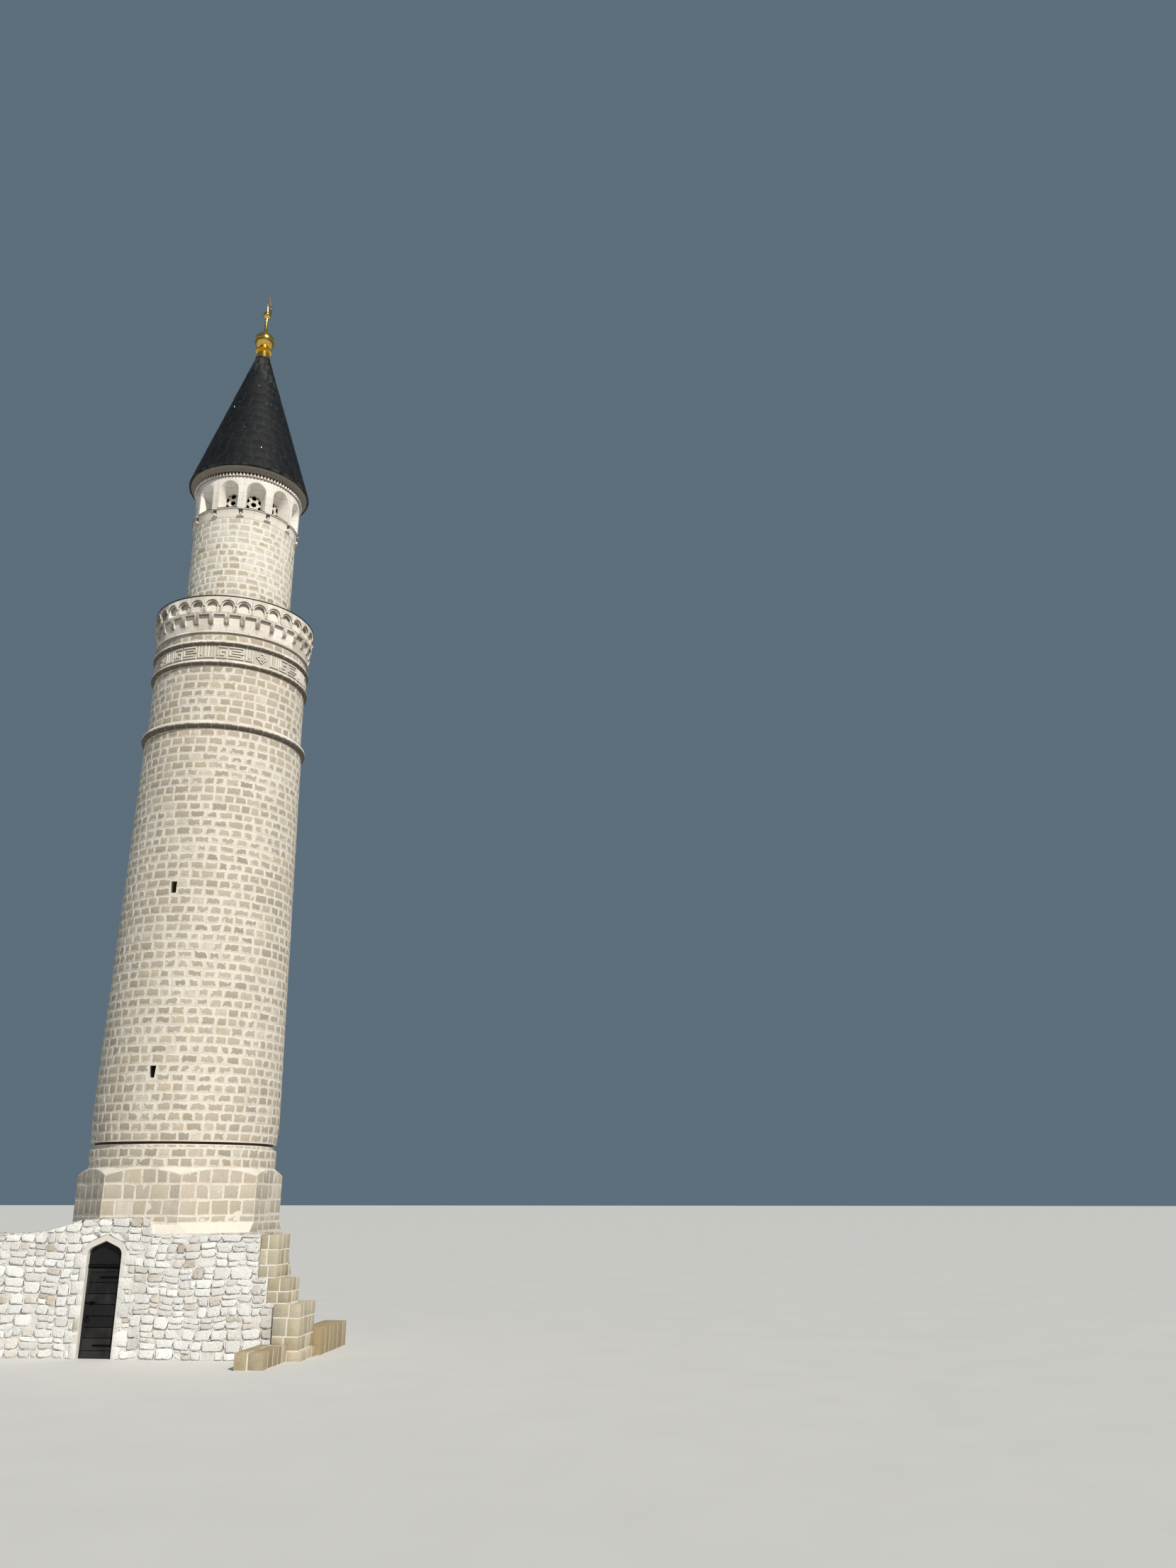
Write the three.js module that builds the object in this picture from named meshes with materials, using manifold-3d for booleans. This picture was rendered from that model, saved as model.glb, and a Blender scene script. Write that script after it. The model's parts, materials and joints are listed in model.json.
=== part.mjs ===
import * as THREE from 'three';
import { ConvexGeometry } from 'three/addons/geometries/ConvexGeometry.js';
import { mergeVertices } from 'three/addons/utils/BufferGeometryUtils.js';
import Module from 'manifold-3d';

// A stone minaret with the remains of its front wall, in millimetres.
// The origin is on the tower's axis at ground level, +Z is up and -Y is the door side.

const wasm = await Module();
wasm.setup();

// Driving dimensions
const GAP = 0.3;
const ROUND = 40;
const INNER = 1150;
// How far a cutting shape runs on past the piece that it cuts
const PAST = 5000;

// Heights of the courses above the ground
const WALL_TOP = 2670;
const DRUM_FOOT = 4150;
const GROOVE_FOOT = 4600;
const SHAFT_FOOT = 4750;
const STRING_FOOT = 15370;
const NECK_FOOT = 15590;
const LOWER_RING_FOOT = 17220;
const FRIEZE_FOOT = 17370;
const UPPER_RING_FOOT = 17810;
const PLAIN_COURSE_FOOT = 17950;
const CORBEL_FOOT = 18150;
const DECK_LEVEL = 19250;
const SILL_BAND_FOOT = 22140;
const ARCADE_FOOT = 22440;
const CORNICE_FOOT = 23470;
const EAVE_FOOT = 23735;
const ROOF_FOOT = 23790;
const FINIAL_FOOT = 28640;
const CHAMBER_FLOOR = 100;

// The octagonal stage and the square base under it
const OCTAGON = { radius: 2479, shoulder: 3990, crown: 4140 };
const APOTHEM = OCTAGON.radius * Math.cos(Math.PI / 8);
const STOP = { top: 2900, foot: 1670 };

// The front wall, its stepped east end and the low walls beside it
const FRONT = { west: -3440, face: -2420, back: -1570, inside: -INNER };
const QUOIN = { west: 3020, east: 3460, back: -1570, foot: 1740 };
const MIDDLE_STEP = { west: 3260, east: 3780, back: -1630, foot: 1200 };
const LOWER_STEP = { west: 3460, east: 4100, back: -1340 };
const FOOTING = { west: 3870, east: 4180, face: -2500, back: -1340, top: 220 };
const SIDE_WALL = { west: 3700, east: 4270, face: -1340, back: 800, top: 590 };
const BENCH = { west: 3200, east: 3860, face: -4040, top: 370 };
const CREST = [
  [-2600, 0], [-2090, 70], [-1590, 210], [-1340, 300], [-740, 330], [120, 370], [330, 300], [430, 0],
];
const CREST_BACK = -1700;

// The doorway
const DOOR_X = -660;
const ARCH = { halfWidth: 410, spring: 2220, rise: 300, haunch: 180 };
const SURROUND = { width: 120, face: -2440, rebate: -2268, back: -2140, step: 30 };
const LEAF = { halfWidth: 399, hingeHalf: 396, foot: 10, top: 1915, face: -2325, back: -2280 };
const TRANSOM = { foot: 1925, top: 2000, face: -2335, lap: 10 };
const TYMPANUM_FACE = -2315;
const HINGE = { x: -266, y: -2349, knuckle: 11, pin: 5, bore: 5.4 };
const STRAP = { length: 500, height: 44, thickness: 12, shy: 8, link: 34, linkFront: 3 };
const STRAP_LEVELS = { upper: 1718, lower: 272 };
const PINTLE = { lug: 9, below: 34, under: 6, sunk: 20, above: 12 };
const LATCH = { level: 1175, length: 260, half: 14, thickness: 14, start: 4 };
const HASP = { start: 150, end: 190, below: 40, above: 34, thickness: 34 };
const PULL_RING = { x: -955, level: 867, radius: 52, tube: 7, standoff: 12, boss: 16, bossFront: 24 };

// Outer radii of the round courses, their [radius, height] outlines, and the windows
const DRUM_RADIUS = 2273;
const GROOVE_RADIUS = 2209;
const SHAFT = { foot: 2267, swell: 2301, swellHeight: 550, top: 2127 };
const SLITS = [{ level: 6230, width: 160 }, { level: 10850, width: 110 }];
const SLIT_HEIGHT = 290;
const SLIT_X = -60;
const NECK = { foot: 2090, top: 2075 };
const RING_NOSE = { string: 2229, frieze: 2165 };
const FRIEZE_RADIUS = 2085;
const PLAIN_RADIUS = 2080;
const CORBEL_OUTLINE = [[2095, 0], [2130, 25], [2130, 85], [2105, 100], [2150, 290], [2195, 600]];
const CORBEL_RIM = 2210;
const NICHES = {
  count: 32, phase: 0.375, half: 150, archFoot: 640, archSpring: 800, archBack: 2115,
  squareFoot: 300, squareTop: 575, squareBack: 2085,
};
const DECK = { rim: 2216, edge: 14, fall: 45 };
const UPPER_DRUM = { foot: 1472, top: 1462, inner: 950 };
const LANTERN_FLOOR = { level: 21900, thickness: 120 };
const BAY_WINDOW = {
  sill: 20, width: 600, spring: 620, innerWidth: 400, innerSpring: 430, depth: 370, lead: 60,
};
const SILL_BAND = { foot: 1475, face: 1500, lip: 1530, chamfer: 30, under: 40, lipFoot: 25 };
const ARCADE = { radius: 1515, bays: 12 };
const CORNICE_OUTLINE = [[ARCADE.radius, 0], [1540, 10], [1580, 100], [1625, 195], [1690, 215]];
const CORNICE_RIM = 1700;
const EAVE = { inner: 1560, foot: 1748, roll: 1764, rollFoot: 16, rollTop: 38, top: 1750 };
const SCREEN = { thickness: 60, top: 680, hole: 75 };
const SCREEN_HOLES = [[0, 150], [0, 390], [-125, 270], [125, 270]];
const ROOF = { eave: 1755, top: 228, thickness: 90 };
const COLLAR_OUTLINE = [[242, 0], [182, 300], [250, 312], [256, 336], [250, 360], [170, 372], [128, 395]];
const COLLAR_NECK = 118;
const BALL = { radius: 310, centre: 710, seat: 420, crown: 1015 };
const SMALL_BALL = { radius: 122, centre: 1720, below: 112, above: 118 };
const STEM = { foot: 58, top: 44, collar: 28, collarTop: 130, spike: 24 };
const SPIKE_TOP = 2060;
const CRESCENT = {
  radius: 290, inner: 235, shift: 95, opening: 155, reach: 190, rise: 183, thickness: 28, heading: 97.8,
};

const FINISH = {
  limewash: [0xe9e6df, 0.95, 0],
  ashlar: [0xc9bda6, 0.9, 0],
  whiteStone: [0xd8d0c2, 0.9, 0],
  tanStone: [0xcdb487, 0.9, 0],
  flooring: [0xb8ab94, 0.95, 0],
  iron: [0x2b2a29, 0.55, 0.8],
  roofing: [0x303336, 0.5, 0.6],
  gilding: [0xd8a63a, 0.25, 1],
};

function material(name) {
  const [color, roughness, metalness] = FINISH[name];
  return new THREE.MeshStandardMaterial({ name, color, roughness, metalness });
}

// A closed geometry as a solid, with its faces turned outwards
function solid(geometry) {
  const bare = geometry.index ? geometry.toNonIndexed() : geometry.clone();
  bare.deleteAttribute('normal');
  bare.deleteAttribute('uv');
  const merged = mergeVertices(bare, 1e-3);
  const vertices = merged.attributes.position.array;
  const triangles = Uint32Array.from(merged.index.array);
  const corner = (i) => new THREE.Vector3().fromArray(vertices, 3 * triangles[i]);
  let volume = 0;
  for (let i = 0; i < triangles.length; i += 3) {
    volume += corner(i).dot(corner(i + 1).cross(corner(i + 2)));
  }
  if (volume < 0) {
    for (let i = 0; i < triangles.length; i += 3) {
      [triangles[i], triangles[i + 1]] = [triangles[i + 1], triangles[i]];
    }
  }
  const vertProperties = Float32Array.from(vertices);
  return new wasm.Manifold(new wasm.Mesh({ numProp: 3, vertProperties, triVerts: triangles }));
}

function geometryOf(body) {
  const { vertProperties, triVerts } = body.getMesh();
  const geometry = new THREE.BufferGeometry();
  geometry.setAttribute('position', new THREE.BufferAttribute(Float32Array.from(vertProperties), 3));
  geometry.setIndex(new THREE.BufferAttribute(Uint32Array.from(triVerts), 1));
  return geometry;
}

function piece(name, body, finish) {
  const geometry = geometryOf(body).toNonIndexed();
  geometry.computeVertexNormals();
  const mesh = new THREE.Mesh(geometry, material(finish));
  mesh.name = name;
  return mesh;
}

function stage(level, ...children) {
  const group = new THREE.Group();
  group.position.z = level;
  group.add(...children);
  return group;
}

// A box between two corners
function block(x0, x1, y0, y1, z0, z1) {
  const box = new THREE.BoxGeometry(x1 - x0, y1 - y0, z1 - z0);
  box.translate((x0 + x1) / 2, (y0 + y1) / 2, (z0 + z1) / 2);
  return solid(box);
}

function outline(points) {
  return new THREE.Shape(points.map(([x, y]) => new THREE.Vector2(x, y)));
}

// A plan outline raised from z0 to z1
function raised(shape, z0, z1) {
  const geometry = new THREE.ExtrudeGeometry(shape, { depth: z1 - z0, bevelEnabled: false });
  geometry.translate(0, 0, z0);
  return solid(geometry);
}

// An elevation outline, drawn in X and Z, carried from y0 back to y1
function carried(shape, y0, y1, curveSegments = 4) {
  const geometry = new THREE.ExtrudeGeometry(shape, { depth: y1 - y0, bevelEnabled: false, curveSegments });
  geometry.rotateX(Math.PI / 2);
  geometry.translate(0, y1, 0);
  return solid(geometry);
}

// A closed profile of [radius, height] points turned about the tower's axis
function turned(profile, segments = ROUND) {
  const points = profile.map(([radius, height]) => new THREE.Vector2(radius, height));
  if (profile[0][0] > 0) points.push(points[0].clone());
  const geometry = new THREE.LatheGeometry(points, segments);
  geometry.rotateX(Math.PI / 2);
  return solid(geometry);
}

// A ring course from one level to the next, with its wall between the inner radius and the outer profile
function course(height, outer, inner = INNER, segments = ROUND) {
  return turned([[inner, 0], ...outer, [inner, height - GAP]], segments);
}

function straightCourse(height, radius) {
  return course(height, [[radius, 0], [radius, height - GAP]]);
}

// One quarter of a round or octagonal stage, centred on a heading
function quarter(body, heading) {
  const wedge = outline([[0, -GAP], [PAST, -GAP - PAST], [-PAST, -GAP - PAST]]);
  const cutter = raised(wedge, -GAP, STRING_FOOT).rotate([0, 0, heading]);
  return body.intersect(cutter);
}

function quarters(prefix, body, finish) {
  const sides = { front: 0, east: 90, back: 180, west: 270 };
  return Object.entries(sides).map(
    ([side, heading]) => piece(`${prefix}_${side}`, quarter(body, heading), finish),
  );
}

// A half-round nose between two heights, for a string course
function nose(radius, height, reach) {
  const points = [];
  const steps = 4;
  for (let i = 0; i <= steps; i += 1) {
    const turn = Math.PI * (i / steps - 0.5);
    points.push([radius + reach * Math.cos(turn), (height - GAP) * (0.5 + 0.5 * Math.sin(turn))]);
  }
  return points;
}

// The pointed door arch, grown by a margin: a round haunch, then a straight line to the point
function archOutline(margin, foot, spring = ARCH.spring, rise = ARCH.rise) {
  const reach = ARCH.halfWidth - ARCH.haunch;
  const slant = Math.atan2(reach, rise) + Math.asin(ARCH.haunch / Math.hypot(reach, rise));
  const radius = ARCH.haunch + margin;
  const steps = 4;
  const right = [[ARCH.halfWidth + margin, foot]];
  for (let i = 0; i <= steps; i += 1) {
    const turn = (slant * i) / steps;
    right.push([reach + radius * Math.cos(turn), spring + radius * Math.sin(turn)]);
  }
  const apex = [0, spring + rise + margin / Math.sin(slant)];
  const left = right.map(([x, z]) => [-x, z]).reverse();
  return outline([...right, apex, ...left].map(([x, z]) => [DOOR_X + x, z]));
}

// The octagon and the square corners that splay out below it
function octagonPoints(height, half) {
  const points = [];
  for (const [a, b] of [[1, 1], [1, -1], [-1, 1], [-1, -1]]) {
    points.push(new THREE.Vector3(a * APOTHEM, b * half, height));
    points.push(new THREE.Vector3(a * half, b * APOTHEM, height));
  }
  return points;
}

function stopHalf(height) {
  const upper = APOTHEM * Math.tan(Math.PI / 8);
  return upper + ((STOP.top - height) / (STOP.top - STOP.foot)) * (APOTHEM - upper);
}

function stopsBetween(low, high) {
  const points = [...octagonPoints(low, stopHalf(low)), ...octagonPoints(high, stopHalf(high))];
  return solid(new ConvexGeometry(points));
}

function octagonBody() {
  const top = DRUM_FOOT - WALL_TOP - GAP;
  const vertices = [];
  for (let k = 0; k < 8; k += 1) {
    const turn = Math.PI / 8 + (k * Math.PI) / 4;
    vertices.push([OCTAGON.radius * Math.cos(turn), OCTAGON.radius * Math.sin(turn)]);
  }
  const prism = raised(outline(vertices), 0, top);
  const shoulder = OCTAGON.shoulder - WALL_TOP;
  const slope = (OCTAGON.radius - APOTHEM) / (OCTAGON.crown - OCTAGON.shoulder);
  const radiusAt = (height) => OCTAGON.radius - slope * (height - shoulder);
  const cap = turned([[0, -1], [radiusAt(shoulder - 100), -1], [radiusAt(shoulder - 100), shoulder - 100],
    [radiusAt(top), top], [0, top]]);
  const stops = stopsBetween(WALL_TOP, STOP.top).translate([0, 0, -WALL_TOP]);
  return prism.intersect(cap).add(stops);
}

function octagonStage() {
  const bore = turned([[0, -1], [INNER, -1], [INNER, DRUM_FOOT], [0, DRUM_FOOT]]);
  return stage(WALL_TOP, ...quarters('octagon', octagonBody().subtract(bore), 'ashlar'));
}

// The rubble front wall, split beside and over the doorway
function frontWalls() {
  const jamb = ARCH.halfWidth - SURROUND.step;
  const outer = ARCH.halfWidth + SURROUND.width + GAP;
  const top = WALL_TOP - GAP;
  const west = raised(outline([
    [FRONT.west, FRONT.face], [DOOR_X - outer, FRONT.face], [DOOR_X - outer, SURROUND.back + GAP],
    [DOOR_X - jamb, SURROUND.back + GAP], [DOOR_X - jamb, FRONT.inside], [-APOTHEM, FRONT.inside],
    [-APOTHEM, FRONT.back], [FRONT.west, FRONT.back],
  ]), 0, top);
  const east = raised(outline([
    [DOOR_X + outer, FRONT.face], [LOWER_STEP.west - GAP, FRONT.face], [LOWER_STEP.west - GAP, FRONT.back],
    [APOTHEM, FRONT.back], [APOTHEM, FRONT.inside], [DOOR_X + jamb, FRONT.inside],
    [DOOR_X + jamb, SURROUND.back + GAP], [DOOR_X + outer, SURROUND.back + GAP],
  ]), 0, top);
  const quoinSeat = block(QUOIN.west - GAP, PAST, -PAST, 0, QUOIN.foot - GAP, WALL_TOP);
  const stepSeat = block(MIDDLE_STEP.west - GAP, PAST, -PAST, 0, MIDDLE_STEP.foot - GAP, WALL_TOP);
  const [left, right] = [DOOR_X - outer, DOOR_X + outer];
  const aboveDoor = block(left, right, FRONT.face - 1, FRONT.inside + 1, ARCH.spring, WALL_TOP);
  const rebate = SURROUND.back + GAP;
  const spring = ARCH.spring + GAP;
  const lintelFront = block(left + GAP, right - GAP, FRONT.face, rebate, spring, top)
    .subtract(carried(archOutline(SURROUND.width + GAP, 0), -PAST, 0));
  const lintelBack = block(left + GAP, right - GAP, rebate, FRONT.inside, spring, top)
    .subtract(carried(archOutline(-SURROUND.step, 0), -PAST, 0));
  return [
    piece('front_wall_west', west.subtract(aboveDoor), 'limewash'),
    piece('front_wall_east', east.subtract(aboveDoor).subtract(quoinSeat).subtract(stepSeat), 'limewash'),
    piece('front_wall_lintel', lintelFront.add(lintelBack), 'limewash'),
  ];
}

function rubbleCrest() {
  const grown = (APOTHEM + GAP) / APOTHEM;
  const bank = carried(outline(CREST), FRONT.face, CREST_BACK);
  const seat = octagonBody().scale([grown, grown, 1]);
  return stage(WALL_TOP, piece('rubble_crest', bank.subtract(seat), 'limewash'));
}

// The other three walls of the square base, round its chamber
function baseWalls() {
  const top = WALL_TOP - GAP;
  const near = FRONT.inside + GAP;
  const far = INNER - GAP;
  const stops = block(-APOTHEM, APOTHEM, 0, APOTHEM, 0, STOP.foot)
    .add(stopsBetween(STOP.foot, WALL_TOP + 1));
  const back = block(-APOTHEM, APOTHEM, INNER, APOTHEM, 0, top).intersect(stops);
  return [
    piece('base_wall_west', block(-APOTHEM, -INNER, near, far, 0, top), 'ashlar'),
    piece('base_wall_east', block(INNER, APOTHEM, near, far, 0, top), 'ashlar'),
    piece('base_wall_back', back, 'ashlar'),
    piece('chamber_floor', block(-far, far, near, far, 0, CHAMBER_FLOOR), 'flooring'),
  ];
}

// The stepped ashlar end of the front wall, with the bench before it and the low wall behind it
function steppedEnd() {
  const face = FRONT.face;
  const footing = block(FOOTING.west, FOOTING.east, FOOTING.face, FOOTING.back, 0, FOOTING.top);
  const lower = block(LOWER_STEP.west, LOWER_STEP.east, face, LOWER_STEP.back, 0, MIDDLE_STEP.foot - GAP);
  const quoin = block(QUOIN.west, QUOIN.east, face, QUOIN.back, QUOIN.foot, WALL_TOP - GAP);
  return [
    piece('corner_quoin', quoin, 'tanStone'),
    piece('middle_step', block(MIDDLE_STEP.west, MIDDLE_STEP.east, face, MIDDLE_STEP.back, MIDDLE_STEP.foot,
      QUOIN.foot - GAP), 'tanStone'),
    piece('lower_step', lower.add(footing), 'tanStone'),
    piece('low_side_wall', block(SIDE_WALL.west, SIDE_WALL.east, SIDE_WALL.face + GAP, SIDE_WALL.back, 0,
      SIDE_WALL.top), 'tanStone'),
    piece('front_bench', block(BENCH.west, BENCH.east, BENCH.face, face - GAP, 0, BENCH.top), 'tanStone'),
  ];
}

// The dressed stone surround, rebated for the leaf, and the fixed iron plate in the arch
function doorFrame() {
  const front = carried(archOutline(SURROUND.width, 0), SURROUND.face, SURROUND.back);
  const opening = carried(archOutline(0, -1), SURROUND.face - 1, SURROUND.rebate);
  const passage = carried(archOutline(-SURROUND.step, -1), SURROUND.rebate - 1, SURROUND.back + 1);
  const aboveTransom = block(-PAST, PAST, -PAST, 0, TRANSOM.foot, PAST);
  const plate = carried(archOutline(-GAP, 0), TYMPANUM_FACE, SURROUND.rebate - GAP).intersect(aboveTransom);
  const inner = ARCH.halfWidth - GAP;
  const { foot, top, face, lap } = TRANSOM;
  const transom = block(DOOR_X - inner, DOOR_X + inner, face, TYMPANUM_FACE + lap, foot, top);
  return [
    piece('door_surround', front.subtract(opening).subtract(passage), 'whiteStone'),
    piece('door_tympanum', plate.add(transom), 'iron'),
  ];
}

function upright(radius, x, y, z0, z1) {
  const rod = new THREE.CylinderGeometry(radius, radius, z1 - z0, 12);
  rod.rotateX(Math.PI / 2);
  rod.translate(x, y, (z0 + z1) / 2);
  return solid(rod);
}

function strap(level) {
  const half = STRAP.height / 2;
  const back = LEAF.face - GAP;
  const front = back - STRAP.thickness;
  const band = block(HINGE.x - STRAP.length, HINGE.x - STRAP.shy, front, back, level - half, level + half);
  const tongue = HINGE.y - STRAP.linkFront;
  const link = block(HINGE.x - STRAP.link, HINGE.x - HINGE.pin, tongue, back, level - half, level + half);
  const knuckle = upright(HINGE.knuckle, HINGE.x, HINGE.y, level - half, level + half);
  const bore = upright(HINGE.bore, HINGE.x, HINGE.y, level - STRAP.height, level + STRAP.height);
  return band.add(link).add(knuckle).subtract(bore);
}

function pintle(level) {
  const { lug, below, under, sunk, above } = PINTLE;
  const jamb = DOOR_X + ARCH.halfWidth - GAP;
  const foot = level - STRAP.height / 2;
  const bracket = block(HINGE.x - lug, jamb, HINGE.y - lug, HINGE.y + lug, foot - below, foot - under);
  return bracket.add(upright(HINGE.pin, HINGE.x, HINGE.y, foot - sunk, foot + STRAP.height + above));
}

// The iron-clad leaf with its straps, latch and pull ring
function doorLeaf() {
  const front = LEAF.face - GAP;
  const edge = DOOR_X - LEAF.halfWidth;
  const leaf = block(edge, DOOR_X + LEAF.hingeHalf, LEAF.face, LEAF.back, LEAF.foot, LEAF.top);
  const bar = block(edge + LATCH.start, edge + LATCH.length, front - LATCH.thickness, front,
    LATCH.level - LATCH.half, LATCH.level + LATCH.half);
  const hasp = block(edge + HASP.start, edge + HASP.end, front - HASP.thickness, front,
    LATCH.level - HASP.below, LATCH.level + HASP.above);
  const { x, level, radius, tube, standoff, boss, bossFront } = PULL_RING;
  const hoop = new THREE.TorusGeometry(radius, tube, 5, 16);
  hoop.rotateX(Math.PI / 2);
  hoop.translate(x, front - standoff, level - radius);
  const plate = block(x - boss, x + boss, front - bossFront, front, level - boss, level + boss);
  return [
    piece('door_leaf', leaf, 'iron'),
    piece('door_strap_upper', strap(STRAP_LEVELS.upper), 'iron'),
    piece('door_strap_lower', strap(STRAP_LEVELS.lower), 'iron'),
    piece('door_latch', bar.add(hasp), 'iron'),
    piece('door_ring', solid(hoop).add(plate), 'iron'),
    piece('door_pintle_upper', pintle(STRAP_LEVELS.upper), 'iron'),
    piece('door_pintle_lower', pintle(STRAP_LEVELS.lower), 'iron'),
  ];
}

function roundBase() {
  const drum = GROOVE_FOOT - DRUM_FOOT;
  const groove = SHAFT_FOOT - GROOVE_FOOT;
  return [
    stage(DRUM_FOOT, piece('drum_course', straightCourse(drum, DRUM_RADIUS), 'ashlar')),
    stage(GROOVE_FOOT, piece('groove_course', straightCourse(groove, GROOVE_RADIUS), 'ashlar')),
  ];
}

function shaft() {
  const height = STRING_FOOT - SHAFT_FOOT;
  let body = course(height, [[SHAFT.foot, 0], [SHAFT.swell, SHAFT.swellHeight], [SHAFT.top, height - GAP]]);
  for (const { level, width } of SLITS) {
    const foot = level - SHAFT_FOOT;
    body = body.subtract(block(SLIT_X - width / 2, SLIT_X + width / 2, -PAST, 0, foot, foot + SLIT_HEIGHT));
  }
  return stage(SHAFT_FOOT, ...quarters('shaft', body, 'ashlar'));
}

// The string course, the neck above it and the carved frieze between its two rings
function neckAndFrieze() {
  const neck = LOWER_RING_FOOT - NECK_FOOT;
  const band = UPPER_RING_FOOT - FRIEZE_FOOT;
  const plain = CORBEL_FOOT - PLAIN_COURSE_FOOT;
  const stringHeight = NECK_FOOT - STRING_FOOT;
  const lowerHeight = FRIEZE_FOOT - LOWER_RING_FOOT;
  const upperHeight = PLAIN_COURSE_FOOT - UPPER_RING_FOOT;
  const ring = (height, outer) => course(height, nose(outer - height / 2, height, height / 2));
  return [
    stage(STRING_FOOT, piece('string_course', ring(stringHeight, RING_NOSE.string), 'ashlar')),
    stage(NECK_FOOT, ...quarters('neck', course(neck, [[NECK.foot, 0], [NECK.top, neck - GAP]]), 'ashlar')),
    stage(LOWER_RING_FOOT, piece('frieze_ring_lower', ring(lowerHeight, RING_NOSE.frieze), 'ashlar')),
    stage(FRIEZE_FOOT, piece('frieze_band', straightCourse(band, FRIEZE_RADIUS), 'ashlar')),
    stage(UPPER_RING_FOOT, piece('frieze_ring_upper', ring(upperHeight, RING_NOSE.frieze), 'ashlar')),
    stage(PLAIN_COURSE_FOOT, piece('plain_course', straightCourse(plain, PLAIN_RADIUS), 'ashlar')),
  ];
}

// The balcony's corbel table: a lip, a tier of square niches and a tier of arched ones
function corbelTable() {
  const height = DECK_LEVEL - CORBEL_FOOT;
  const pitch = 360 / NICHES.count;
  const { half, phase, archFoot, archSpring, squareFoot, squareTop } = NICHES;
  const body = course(height, [...CORBEL_OUTLINE, [CORBEL_RIM, height - GAP]], INNER, NICHES.count)
    .rotate([0, 0, (phase - 0.5) * pitch]);
  const arch = new THREE.Shape();
  arch.moveTo(-half, archFoot);
  arch.lineTo(half, archFoot);
  arch.absarc(0, archSpring, half, 0, Math.PI, false);
  arch.closePath();
  const square = outline([[-half, squareFoot], [half, squareFoot], [half, squareTop], [-half, squareTop]]);
  const archCutter = carried(arch, -PAST, -NICHES.archBack, 3);
  const squareCutter = carried(square, -PAST, -NICHES.squareBack);
  const cutters = [];
  for (let k = 0; k < NICHES.count; k += 1) {
    cutters.push(archCutter.rotate([0, 0, (k + phase) * pitch]));
    cutters.push(squareCutter.rotate([0, 0, (k + phase + 0.5) * pitch]));
  }
  return stage(CORBEL_FOOT, piece('corbel_table', body.subtract(wasm.Manifold.union(cutters)), 'ashlar'));
}

function balcony() {
  const height = SILL_BAND_FOOT - DECK_LEVEL;
  const wall = course(height, [[UPPER_DRUM.foot, 0], [UPPER_DRUM.top, height - GAP]], UPPER_DRUM.inner);
  const clear = UPPER_DRUM.foot + GAP;
  const deck = turned([[clear, 0], [DECK.rim, 0], [DECK.rim, DECK.edge], [clear, DECK.fall]]);
  const { thickness } = LANTERN_FLOOR;
  const floorRadius = UPPER_DRUM.inner - GAP;
  const floor = turned([[0, 0], [floorRadius, 0], [floorRadius, thickness], [0, thickness]]);
  return [
    stage(DECK_LEVEL, piece('balcony_deck', deck, 'roofing'), piece('upper_drum', wall, 'whiteStone')),
    stage(LANTERN_FLOOR.level, piece('lantern_floor', floor, 'flooring')),
  ];
}

// An arched outline from its sill up
function windowOutline(width, spring) {
  const arch = new THREE.Shape();
  arch.moveTo(-width / 2, 0);
  arch.lineTo(width / 2, 0);
  arch.absarc(0, spring, width / 2, 0, Math.PI, false);
  arch.closePath();
  return arch;
}

// A window void that narrows inwards from a wide arch to a small one
function splayedWindow() {
  const { width, spring, innerWidth, innerSpring, depth, lead, sill } = BAY_WINDOW;
  const face = -(ARCADE.radius + lead);
  const settings = { depth, bevelEnabled: false, curveSegments: 3 };
  const geometry = new THREE.ExtrudeGeometry(windowOutline(width, spring), settings);
  const position = geometry.attributes.position;
  const narrow = innerWidth / width;
  const lower = (innerSpring + innerWidth / 2) / (spring + width / 2);
  for (let i = 0; i < position.count; i += 1) {
    const inside = 1 - position.getZ(i) / depth;
    position.setX(i, position.getX(i) * (1 + (narrow - 1) * inside));
    position.setY(i, position.getY(i) * (1 + (lower - 1) * inside));
  }
  geometry.rotateX(Math.PI / 2);
  geometry.translate(0, face + depth, 0);
  const inner = carried(windowOutline(innerWidth, innerSpring), face + depth - 1, 0, 3);
  return solid(geometry).add(inner).translate([0, 0, sill]);
}

function screenHole(x, z) {
  const drill = new THREE.CylinderGeometry(SCREEN.hole, SCREEN.hole, 6 * SCREEN.thickness, 6);
  drill.translate(x, -INNER, z);
  return solid(drill);
}

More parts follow.
